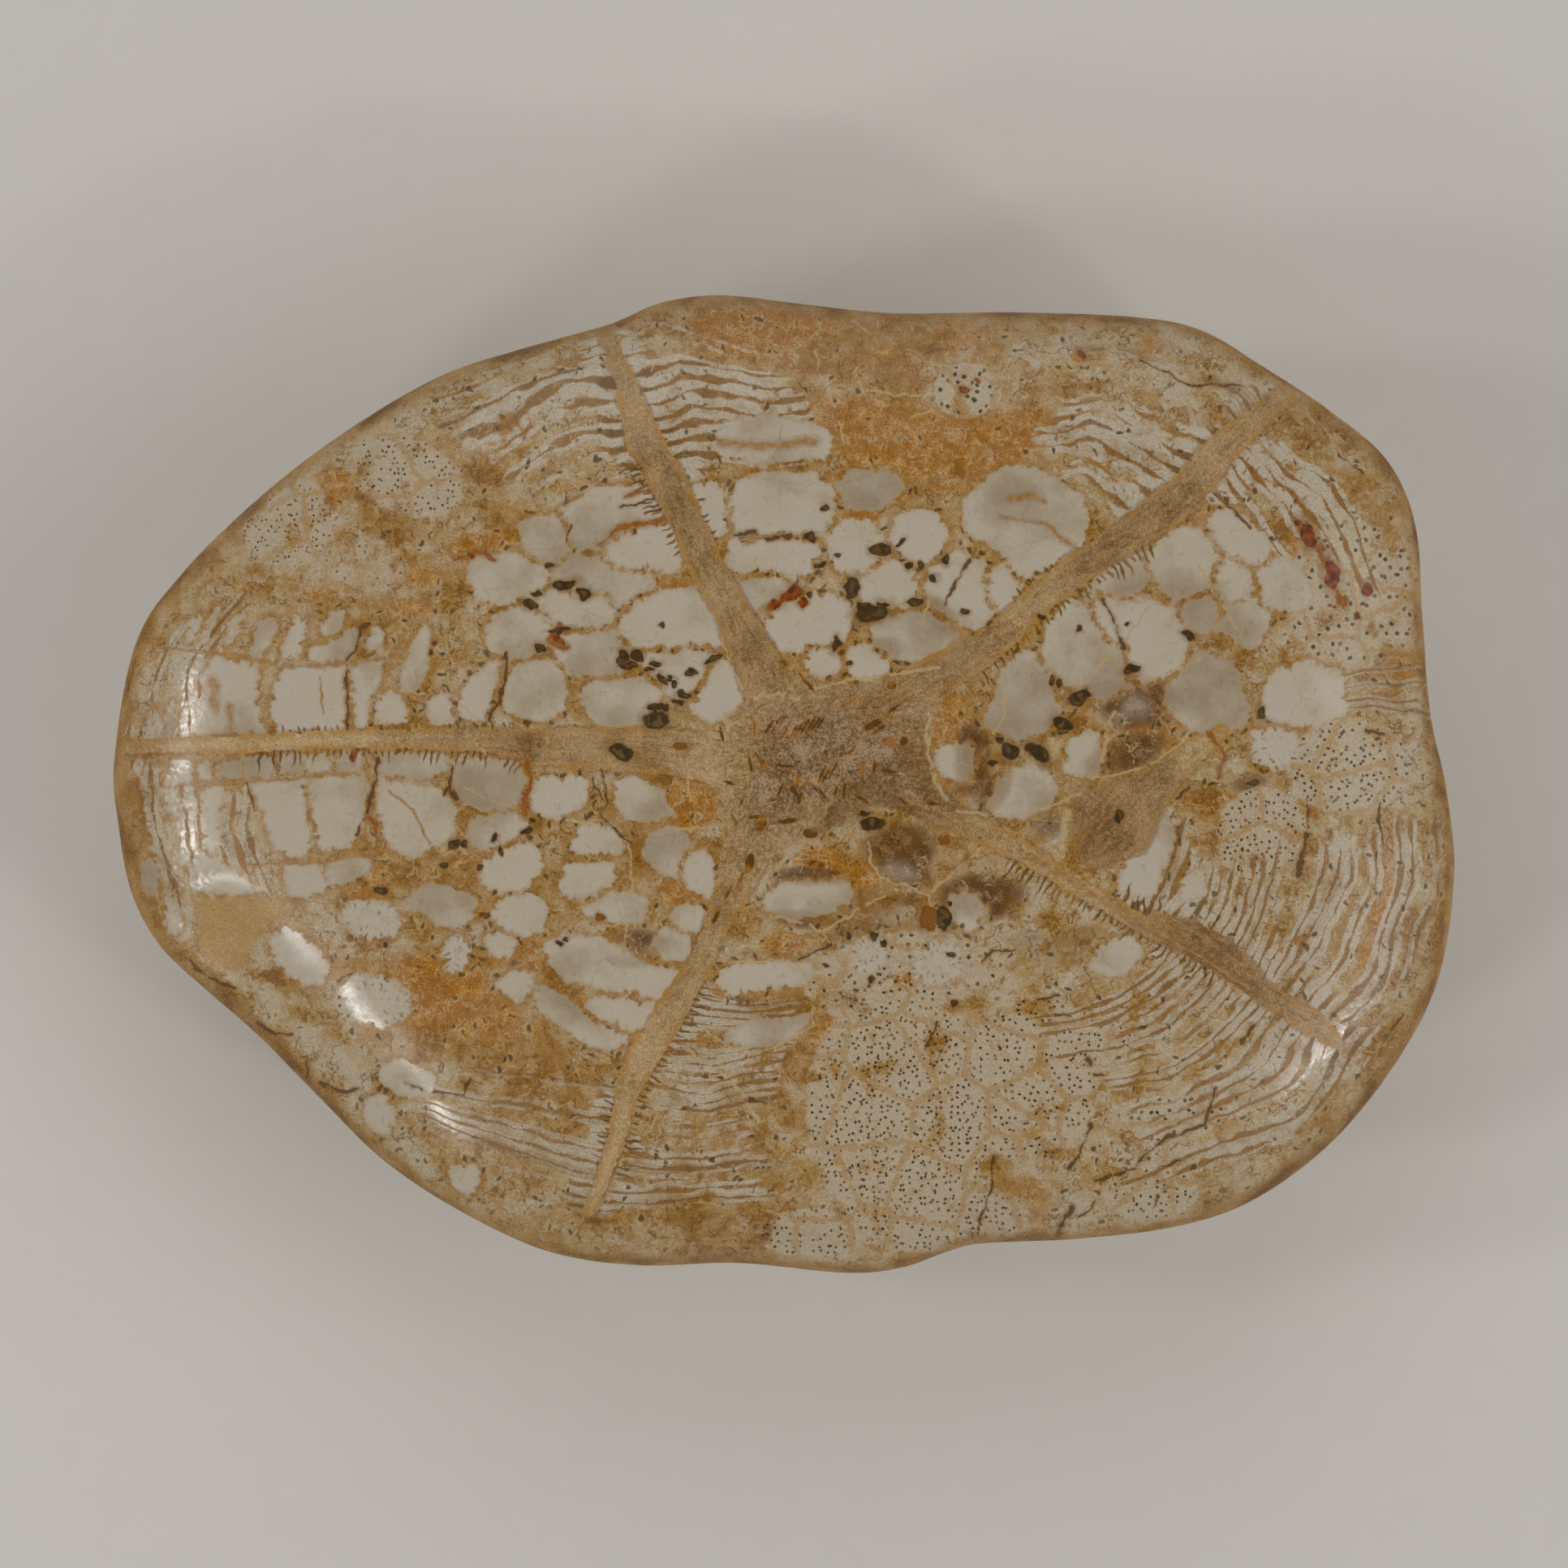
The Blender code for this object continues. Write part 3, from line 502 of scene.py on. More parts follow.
TAN_SEAMS: tuple[tuple[Outline, float], ...] = (
    ((262, 840, 265, 870), 11), ((283, 870, 284, 902), 6), ((191, 797, 270, 806, 342, 818), 3),
    ((346, 822, 410, 820, 473, 811), 4), ((203, 969, 350, 961, 424, 954), 3),
    ((305, 1067, 400, 1062, 477, 1048), 3),
    ((1245, 616, 1265, 611, 1287, 618), 5), ((892, 545, 940, 550, 1004, 544), 8),
    ((1232, 637, 1262, 642, 1290, 646, 1308, 664), 3), ((1308, 664, 1325, 675), 6),
    ((470, 845, 480, 815, 500, 790), 5), ((395, 835, 398, 880), 2), ((480, 975, 510, 1000, 530, 1040), 2),
    ((1270, 1056, 1330, 1092, 1400, 1133, 1470, 1174, 1540, 1218), 5),
)
CREAM_VEINS: tuple[tuple[Outline, float], ...] = (
    ((900, 1187, 978, 1184, 1003, 1218, 1003, 1264, 950, 1293, 882, 1309), 3),
    ((848, 1296, 900, 1329, 936, 1382), 4),
    ((1326, 853, 1355, 822, 1388, 789, 1415, 749), 4), ((1476, 696, 1505, 745, 1533, 789), 3),
    ((1205, 640, 1250, 668), 2), ((565, 966, 600, 985, 640, 996), 2),
    ((950, 1130, 990, 1138, 1015, 1148, 1030, 1140, 1060, 1120, 1090, 1105), 3), ((1015, 1150, 1025, 1165), 3),
    ((1070, 1040, 1075, 1065, 1085, 1083, 1110, 1090, 1130, 1098, 1145, 1105, 1150, 1130, 1155, 1145), 3),
    ((1150, 1098, 1180, 1070, 1210, 1045), 3), ((1155, 1145, 1130, 1165, 1115, 1185, 1110, 1205), 3),
    ((1155, 1145, 1190, 1160, 1205, 1175, 1210, 1200, 1215, 1225), 3), ((1110, 1210, 1130, 1225, 1150, 1250), 3),
    ((1180, 1000, 1240, 1006, 1295, 995, 1330, 980), 3), ((1315, 1000, 1310, 1040, 1305, 1060), 8),
    ((1380, 835, 1395, 838, 1430, 835, 1480, 812), 3), ((1440, 865, 1455, 890), 3),
    ((1375, 870, 1365, 905, 1358, 940), 6), ((1345, 960, 1400, 950, 1440, 930, 1470, 900), 3),
    ((850, 950, 850, 1000), 3), ((820, 1020, 850, 1023, 870, 1018), 3),
    ((700, 1012, 722, 1015, 742, 1004, 775, 1040, 780, 1070, 777, 1105), 3),
    ((510, 963, 545, 975, 570, 990, 600, 1000), 2), ((735, 1145, 765, 1138), 3), ((1137, 770, 1145, 740), 4),
    ((1105, 785, 1140, 765), 2), ((1190, 690, 1190, 660, 1185, 620), 2),
    ((800, 1395, 812, 1365, 825, 1335, 840, 1310), 3), ((870, 1270, 900, 1290, 930, 1298), 3),
    ((345, 817, 400, 815, 430, 812), 2), ((300, 962, 340, 958, 380, 955), 2), ((500, 853, 525, 855), 2),
    ((550, 850, 590, 888), 2), ((1060, 480, 1100, 486, 1150, 488), 3), ((1030, 500, 1040, 545), 3),
    ((1120, 515, 1150, 505), 3), ((705, 745, 760, 770, 768, 782), 2), ((930, 860, 960, 855, 985, 862), 6),
    ((1225, 905, 1240, 880, 1238, 850), 3), ((1145, 880, 1142, 920, 1152, 960, 1165, 985), 5),
    ((760, 1105, 772, 1150, 768, 1220), 2), ((890, 790, 905, 830, 915, 850), 3),
    ((680, 640, 690, 600, 712, 560), 2),
    ((1000, 850, 1050, 838, 1110, 830, 1160, 822), 4), ((560, 890, 600, 930), 2),
)


def smooth_step(low: float, high: float, value: Array) -> Array:
    """0 below low and 1 above high, with a smooth rise between them."""
    share = np.clip((value - low) / (high - low), 0.0, 1.0)
    return share * share * (3.0 - 2.0 * share)


def angle_between(first: Array, second: float) -> Array:
    """Unsigned angle between azimuths."""
    return np.abs((first - second + math.pi) % (2.0 * math.pi) - math.pi)


def place(pixel: Patch) -> Array:
    """Place of a pixel of the girth in the stone's own frame, in metres."""
    return np.array([pixel[0] - VIEW_CENTRE[0], VIEW_CENTRE[1] - pixel[1]]) * PIXEL


def corners_of(outline: Outline) -> Array:
    """The corners of an outline, one in each row."""
    return np.array(outline, float).reshape(-1, 2)


def closed_curve(points: Array, steps: int = 16) -> Array:
    """Points along a smooth closed curve that passes through the given ones.

    Args:
        points: The points that the curve passes through, one in each row.
        steps: How many points it gets from one of them to the next.

    Returns:
        The curve's points, one in each row.
    """
    before, after, beyond = (np.roll(points, -shift, axis=0) for shift in (-1, 1, 2))
    runs = []
    for t in np.arange(steps) / steps:
        runs.append(0.5 * (
            2.0 * points
            + (after - before) * t
            + (2.0 * before - 5.0 * points + 4.0 * after - beyond) * t ** 2
            + (3.0 * points - before - 3.0 * after + beyond) * t ** 3
        ))
    return np.stack(runs, axis=1).reshape(-1, 2)


@dataclass
class PathField:
    """Where points lie beside a path, in pixels: distance, side, run along it and its half width and tone there."""

    distance: Array
    side: Array
    along: Array
    width: Array
    tone: Array


def beside(path: Array, points: Array) -> PathField:
    """Finds the nearest place on a path for each point.

    Args:
        path: The path's points, one in each row, with its half width and tone in two more columns where it has them.
        points: The points to look at, one in each row.

    Returns:
        Their distance, side, run along the path and its half width and tone there.
    """
    found = PathField(np.full(len(points), 1e9), *(np.zeros(len(points)) for _ in range(4)))
    start = 0.0
    for a, b in zip(path[:-1], path[1:]):
        run = b[:2] - a[:2]
        length = math.hypot(*run)
        t = np.clip(((points - a[:2]) @ run) / length ** 2, 0.0, 1.0)
        away = points - a[:2] - t[:, None] * run
        distance = np.hypot(*away.T)
        closer = distance < found.distance
        found.distance[closer] = distance[closer]
        found.side[closer] = np.sign(run[0] * away[:, 1] - run[1] * away[:, 0])[closer]
        found.along[closer] = (start + t * length)[closer]
        if len(a) > 3:
            found.width[closer] = (a[2] + t * (b[2] - a[2]))[closer]
            found.tone[closer] = (a[3] + t * (b[3] - a[3]))[closer]
        start += length
    return found


def depth_inside(outline: Array, points: Array) -> tuple[Array, Array]:
    """Depth of points inside an outline, negative outside, and the run along its edge nearest to them.

    Args:
        outline: The outline's corners, one in each row.
        points: The points to look at.

    Returns:
        Their depths and their runs.
    """
    closed = np.vstack([outline, outline[:1]])
    edge = beside(closed, points)
    x, y = points.T
    inside = np.zeros(len(points), bool)
    for (ax, ay), (bx, by) in zip(closed[:-1], closed[1:]):
        crosses = (ay > y) != (by > y)
        inside ^= crosses & (x < (bx - ax) * (y - ay) / (by - ay + 1e-9) + ax)
    return np.where(inside, edge.distance, -edge.distance), edge.along


def around(outline: Array, points: Array, margin: float) -> Array:
    """Indices of the points within a margin of an outline's box."""
    low, high = outline[:, :2].min(0) - margin, outline[:, :2].max(0) + margin
    return np.nonzero(((points > low) & (points < high)).all(axis=1))[0]


def patch_reach(patch: Patch, points: Array) -> Array:
    """Distance of points from a turned oval's middle, as a share of its own reach in that direction.

    Args:
        patch: The oval.
        points: The points to look at.

    Returns:
        The share for each point, which is 1 on the oval's edge.
    """
    turn = math.radians(patch[4])
    dx, dy = (points - np.array(patch[:2])).T
    u = (dx * math.cos(turn) + dy * math.sin(turn)) / patch[2]
    v = (dy * math.cos(turn) - dx * math.sin(turn)) / patch[3]
    return np.hypot(u, v)


def patch_box(patch: Patch) -> Array:
    """Two opposite corners of the square that holds a turned oval."""
    reach = max(patch[2:4])
    return np.array([[patch[0] - reach, patch[1] - reach], [patch[0] + reach, patch[1] + reach]])


@dataclass(frozen=True)
class Form:
    """Sizes of the stone's body, in metres, with the heights of its face and its dome.

    The powers shape the rim's and the dome's curves, and the azimuths are those of the worn rim and of the petals.
    """

    face_rise: float = 0.0105
    face_crown: float = 0.0015
    rim_power: float = 7.0
    worn_rim_power: float = 4.2
    worn_rim_azimuth: float = math.radians(207)
    worn_rim_spread: float = math.radians(24)
    flat_share: float = 0.27
    dome_run_power: float = 2.3
    dome_rise_power: float = 2.0
    petal_azimuths: tuple[float, ...] = tuple(math.radians(a) for a in (177, 115, 39, 328, 243))
    petal_reach: float = 0.74
    petal_half_width: float = 0.0085
    petal_swell: float = 0.0009
    pore_groove_depth: float = 0.0003
    pore_groove_width: float = 0.0032
    lump_height: float = 0.0004
    face_area_share: float = 0.465
    steep_weight: float = 0.35
    half_run: float = 0.43 * LENGTH
    curve_steps: int = 1200
    flat_steps: int = 200
    petal_tip_width: float = 0.0005

    def radius(self, azimuth: Array) -> Array:
        """Distance from the body's centre to the girth in each direction.

        Args:
            azimuth: The directions.

        Returns:
            The distances, in metres.
        """
        curve = closed_curve(np.array([place(p) for p in OUTLINE])) - place(BODY_CENTRE)
        bearing = np.arctan2(curve[:, 1], curve[:, 0])
        order = np.argsort(bearing)
        return np.interp(azimuth, bearing[order], np.hypot(*curve.T)[order], period=2.0 * math.pi)

    def profile(self, area: Array) -> tuple[Array, Array, Array]:
        """Follows the profile from the middle of the face to that of the base.

        Args:
            area: Shares of a sphere's area, counted from its top.

        Returns:
            The share of the radius, the fall down the dome from 0 to 1, and the run along the profile, which is 0 in
            the middle of the face, 1 at the girth and 2 in the middle of the base.
        """
        turn = np.linspace(0.0, math.pi / 2.0, self.curve_steps)
        face = (np.sin(turn) ** (2.0 / self.rim_power), self.face_rise * np.cos(turn), 0.0 * turn)
        down = np.append(np.cos(turn[::-1]) ** (2.0 / self.dome_rise_power), np.ones(self.flat_steps))
        slope = self.flat_share + (1.0 - self.flat_share) * np.sin(turn[::-1]) ** (2.0 / self.dome_run_power)
        base = np.linspace(self.flat_share, 0.0, self.flat_steps)
        dome = (np.append(slope, base), -GIRTH_HEIGHT * down, down)
        share, fallen, along, reached = [], [], [], []
        for part, first_area, last_area, first_run in (
                (face, 0.0, self.face_area_share, 0.0), (dome, self.face_area_share, 1.0, 1.0)):
            rise = np.diff(part[1]) / self.half_run
            ring = 0.5 * (part[0][1:] + part[0][:-1]) * np.hypot(np.diff(part[0]), self.steep_weight * rise)
            length = np.hypot(np.diff(part[0]), rise)
            share.append(part[0])
            fallen.append(part[2])
            reached.append(first_area + (last_area - first_area) * np.append(0.0, np.cumsum(ring)) / ring.sum())
            along.append(first_run + np.append(0.0, np.cumsum(length)) / length.sum())
        known = np.concatenate(reached)
        return tuple(np.interp(area, known, np.concatenate(values)) for values in (share, fallen, along))

    def face_height(self, share: Array, azimuth: Array) -> Array:
        """Height of the polished face and its rounded rim.

        Args:
            share: Shares of the radius.
            azimuth: Directions from the body's centre.

        Returns:
            Heights above the floor, in metres.
        """
        worn = np.exp(-(angle_between(azimuth, self.worn_rim_azimuth) / self.worn_rim_spread) ** 2)
        power = self.rim_power + (self.worn_rim_power - self.rim_power) * worn
        rim = np.sqrt(np.clip(1.0 - share ** power, 0.0, 1.0))
        return GIRTH_HEIGHT + self.face_rise * rim + self.face_crown * (1.0 - share ** 2)

    def petals(self, share: Array, offset: Array) -> tuple[Array, Array, Array]:
        """Lays out the five petals of the dome.

        Args:
            share: Shares of the radius.
            offset: East and north offsets from the body's centre.

        Returns:
            How far the petals stand out, the offset from the nearest row of pores and the run along the petal.
        """
        swell = np.zeros(len(share))
        row_offset = np.full(len(share), 1.0)
        run = np.zeros(len(share))
        distance = np.hypot(*offset)
        bearing = np.arctan2(offset[1], offset[0])
        for azimuth in self.petal_azimuths:
            apart = angle_between(bearing, azimuth)
            across = np.where(apart < math.pi / 2.0, distance * np.sin(apart), 1.0)
            along = np.clip(share / self.petal_reach, 0.0, 1.0)
            half_width = self.petal_half_width * np.sin(math.pi * along ** 0.8) ** 0.7 + self.petal_tip_width
            middle = 1.0 - smooth_step(0.2, 1.15, across / half_width)
            groove = np.exp(-((across - half_width) / self.pore_groove_width) ** 2)
            fade = 1.0 - smooth_step(0.8 * self.petal_reach, 1.1 * self.petal_reach, share)
            swell += fade * (self.petal_swell * middle - self.pore_groove_depth * groove)
            beyond = np.where(share < 0.97 * self.petal_reach, 0.0, 1.0)
            closer = np.abs(across - half_width) + beyond < np.abs(row_offset)
            row_offset = np.where(closer, across - half_width, row_offset)
            run = np.where(closer, distance, run)
        return swell, row_offset, run


class PitKind(Enum):
    """What fills a pit between the plates."""

    DARK = 0.0
    OLIVE = 1.0
    AMBER = 2.0
    RUST = 3.0
    NEEDLE = 4.0


class SeamKind(Enum):
    """What a narrow line across the face is."""

    CRACK = 0.0
    RUST = 1.0
    TAN = 2.0


@dataclass
class Marks:
    """Turns the listed marks of the face into fields over the mesh.

    Attributes:
        points: The corners of the mesh as seen from above, in pixels.
        middles: The middles of its triangles, likewise.
        on_face: Where the corners are on the polished face.
        plate_reach: How far from a plate its depth is counted, in pixels. The other reaches are like it.
        plate_gap: Half the least gap between two plates.
        plate_seed: Seed of the plates' tints.
        overrun: How far a guide line of stripes goes on past its ends.
        stripe_shift: What is added to the numbers of the stripes from one zone to the next.
        ray_shift: What is added to the runs along the grooves from one to the next.
        far: A place that is far from everything.
        ray_tone: Tone of the nearest groove.
        fields: The fields, by name.
    """

    points: Array
    middles: Array
    on_face: Array
    plate_reach: float = 36.0
    plate_gap: float = 2.0
    plate_seed: int = 7
    stripe_reach: float = 30.0
    overrun: float = 200.0
    stripe_shift: float = 40.0
    ray_reach: float = 40.0
    ray_shift: float = 1500.0
    tooth_reach: float = 60.0
    mouth_reach: float = 60.0
    pit_reach: float = 3.2
    seam_reach: float = 16.0
    far: float = -9999.0
    ray_tone: Array | None = None
    fields: dict[str, Array] = field(default_factory=dict)

    def plates(self) -> None:
        """Depth inside the nearest plate, which grows till it nearly meets the next one, its run and its own tint."""
        nearest = np.full(len(self.points), -self.plate_reach)
        second = nearest.copy()
        along = np.zeros(len(self.points))
        tint = np.zeros(len(self.points))
        generator = np.random.default_rng(self.plate_seed)
        for outlines, growth in PLATES:
            for outline in outlines:
                corners = corners_of(outline)
                own = generator.random() * 0.9 + (outlines is DOTTED_PLATES)
                near = around(corners, self.points, self.plate_reach)
                inside, run = depth_inside(corners, self.points[near])
                inside = inside + growth
                better = inside > nearest[near]
                second[near] = np.maximum(second[near], np.where(better, nearest[near], inside))
                nearest[near[better]] = inside[better]
                along[near[better]] = run[better] + 400.0 * own
                tint[near[better]] = own
        depth = np.minimum(nearest, 0.5 * (nearest - second) - self.plate_gap)
        self.fields["plate"] = np.array([np.minimum(depth, self.plate_reach), along, tint]).T

    def stripes(self) -> None:
        """Number of the stripe, how far inside a zone of stripes, and how plain the zone is."""
        phase = np.zeros(len(self.points))
        depth = np.full(len(self.points), -self.stripe_reach)
        plainness = np.zeros(len(self.points))
        for index, (plain, zone) in enumerate(STRIPE_ZONES):
            guides = [corners_of(guide) for _, guide in zone]
            counts = [count for count, _ in zone]
            outline = np.vstack([guides[0], *(g[-1:] for g in guides[1:-1]), guides[-1][::-1],
                                 *(g[:1] for g in guides[-2:0:-1])])
            near = around(outline, self.points, self.stripe_reach)
            points = self.points[near]
            offsets = []
            for guide in guides:
                first = guide[0] + (guide[0] - guide[1]) / np.hypot(*(guide[0] - guide[1])) * self.overrun
                last = guide[-1] + (guide[-1] - guide[-2]) / np.hypot(*(guide[-1] - guide[-2])) * self.overrun
                found = beside(np.vstack([first, guide, last]), points)
                offsets.append(found.distance * found.side)
            turned = np.sign(np.median(offsets[0]))
            offsets = [offset * turned for offset in offsets]
            own = np.zeros(len(points))
            for k in range(len(guides) - 1):
                span = offsets[k] - offsets[k + 1]
                span = np.where(np.abs(span) < 1.0, 1.0, span)
                between = counts[k] + (counts[k + 1] - counts[k]) * offsets[k] / span
                use = (offsets[k] >= 0.0) if k else np.ones(len(points), bool)
                own = np.where(use, between, own)
            inside = np.clip(depth_inside(outline, points)[0], -self.stripe_reach, self.stripe_reach)
            better = inside > depth[near]
            phase[near[better]] = own[better] + self.stripe_shift * index
            depth[near[better]] = inside[better]
            plainness[near[better]] = plain
        self.fields["stripe"] = np.array([phase, depth, plainness]).T

    def patches(self, patches: tuple[Patch, ...], soft: float = 0.5) -> Array:
        """Strength of a set of turned ovals, which fade from a share of their reach to a little past it.

        Args:
            patches: The ovals, each with its strength.
            soft: The share where they begin to fade.

        Returns:
            The strength at each corner of the mesh.
        """
        strength = np.zeros(len(self.points))
        for patch in patches:
            near = around(patch_box(patch), self.points, 0.6 * max(patch[2:4]))
            reach = patch_reach(patch, self.points[near])
            strength[near] = np.maximum(strength[near], patch[5] * (1.0 - smooth_step(soft, 1.5, reach)))
        return strength

    def stains(self) -> None:
        """Strengths of the orange and brown stains, and of the paler and the browner ground."""
        orange = self.patches(ORANGE_STAINS)
        field_depth = depth_inside(corners_of(ORANGE_FIELD), self.points)[0]
        orange = np.maximum(orange, 0.6 * smooth_step(-30.0, 34.0, field_depth))
        chip = smooth_step(-2.0, 2.0, depth_inside(corners_of(CHIP), self.points)[0])
        self.fields["stain"] = np.array([orange, self.patches(BROWN_STAINS), chip]).T
        pale = self.patches(PALE_STAINS, 0.3)
        tan = self.patches(TAN_STAINS, 0.3)
        grey = np.zeros(len(self.points))
        for outline in SOFT_PLATES:
            grey = np.maximum(grey, smooth_step(-10.0, 14.0, depth_inside(corners_of(outline), self.points)[0]))
        self.fields["ground"] = np.array([pale, tan, grey]).T

    def rays(self) -> None:
        """Depth inside the nearest groove, run along it and offset across it."""
        inside = np.full(len(self.points), -self.ray_reach)
        along = np.zeros(len(self.points))
        across = np.zeros(len(self.points))
        self.ray_tone = np.zeros(len(self.points))
        for number, ray in enumerate(RAYS):
            path = np.array(ray, float)
            near = around(path, self.points, 60.0)
            found = beside(path, self.points[near])
            own = found.width - found.distance
            better = own > inside[near]
            inside[near[better]] = own[better]
            along[near[better]] = (found.along + self.ray_shift * number)[better]
            across[near[better]] = (found.distance * found.side)[better]
            self.ray_tone[near[better]] = found.tone[better]
        self.fields["ray"] = np.array([inside, along, across]).T

    def teeth(self) -> None:
        """Distance outwards from the toothed plate edges, run along them and the teeth's strength."""
        distance = np.full(len(self.points), self.tooth_reach)
        along = np.zeros(len(self.points))
        strength = np.zeros(len(self.points))
        for edge, power in TOOTHED_EDGES:
            path = corners_of(edge)
            near = around(path, self.points, 45.0)
            found = beside(path, self.points[near])
            ends = np.minimum(found.along, found.along.max() - found.along)
            better = found.distance < distance[near]
            distance[near[better]] = found.distance[better]
            along[near[better]] = found.along[better]
            strength[near[better]] = (power * smooth_step(0.0, 14.0, ends))[better]
        self.fields["tooth"] = np.array([distance, along, strength]).T

    def zones(self) -> None:
        """Where the sediment in the middle and the zones of pores are, and the size of the pores' dots."""
        mouth = depth_inside(corners_of(MOUTH), self.points)[0]
        share = np.zeros(len(self.points))
        size = np.ones(len(self.points))
        for patch, fill, dot in PORE_ZONES:
            near = around(patch_box(patch), self.points, 30.0)
            own = fill * (1.0 - smooth_step(0.85, 1.12, patch_reach(patch, self.points[near])))
            better = own > share[near]
            share[near[better]] = own[better]
            size[near[better]] = dot
        self.fields["zone"] = np.array([np.clip(mouth, -self.mouth_reach, self.mouth_reach), share, size]).T

    def pits(self) -> None:
        """Gives each triangle the place, kind, reach and turn of the pit nearest to it."""
        best = np.full(len(self.middles), self.pit_reach)
        spot = np.tile([self.far, 0.0, 0.0], (len(self.middles), 1))
        size = np.tile([1.0, 1.0, 0.0], (len(self.middles), 1))
        for kind, pits in ((PitKind.DARK, DARK_PITS), (PitKind.OLIVE, OLIVE_PITS), (PitKind.AMBER, AMBER_PITS),
                           (PitKind.RUST, RUST_PITS), (PitKind.NEEDLE, NEEDLES)):
            for pit in pits:
                near = around(patch_box(pit), self.middles, 12.0)
                reach = patch_reach(pit, self.middles[near])
                better = near[reach < best[near]]
                best[better] = reach[reach < best[near]]
                spot[better] = (pit[0], pit[1], kind.value)
                size[better] = (pit[2], pit[3], math.radians(pit[4]))
        self.fields["pit_spot"] = spot
        self.fields["pit_size"] = size

    def seams(self, name: str, seams: list[tuple[Outline, float, float]]) -> None:
        """Gives each triangle the ends, half width and kind of the stretch of seam nearest to it.

        Args:
            name: What the fields' names begin with.
            seams: Paths with their width and kind.
        """
        best = np.full(len(self.middles), self.seam_reach)
        start = np.tile([self.far, 0.0, 1.0], (len(self.middles), 1))
        stop = np.tile([self.far + 1.0, 0.0, 0.0], (len(self.middles), 1))
        for path, width, kind in seams:
            corners = corners_of(path)
            for a, b in zip(corners[:-1], corners[1:]):
                stretch = np.array([a, b])
                near = around(stretch, self.middles, self.seam_reach)
                distance = beside(stretch, self.middles[near]).distance
                closer = distance < best[near]
                best[near[closer]] = distance[closer]
                start[near[closer]] = (*a, 0.5 * width)
                stop[near[closer]] = (*b, kind)
        self.fields[name + "_start"] = start
        self.fields[name + "_stop"] = stop

    def lay_out(self) -> None:
        """Works out every field, with nothing of the face on the dome."""
        self.plates()
        self.stripes()
        self.stains()
        self.rays()
        self.teeth()
        self.zones()
        plain = {"plate": (-self.plate_reach, 0, 0), "stripe": (0, -self.stripe_reach, 0), "stain": (0, 0, 0),
                 "ground": (0, 0, 0), "ray": (-self.ray_reach, 0, 0), "tooth": (self.tooth_reach, 0, 0),
                 "zone": (-self.mouth_reach, 0, 1)}
        for name, value in plain.items():
            self.fields[name][~self.on_face] = value
        self.pits()
        self.seams("seam", [(path, width, SeamKind.CRACK.value) for path, width in CRACKS]
                   + [(path, width, SeamKind.RUST.value) for path, width in RUST_SEAMS]
                   + [(path, width, SeamKind.TAN.value) for path, width in TAN_SEAMS])
        self.seams("vein", [(path, width, 0.0) for path, width in CREAM_VEINS])


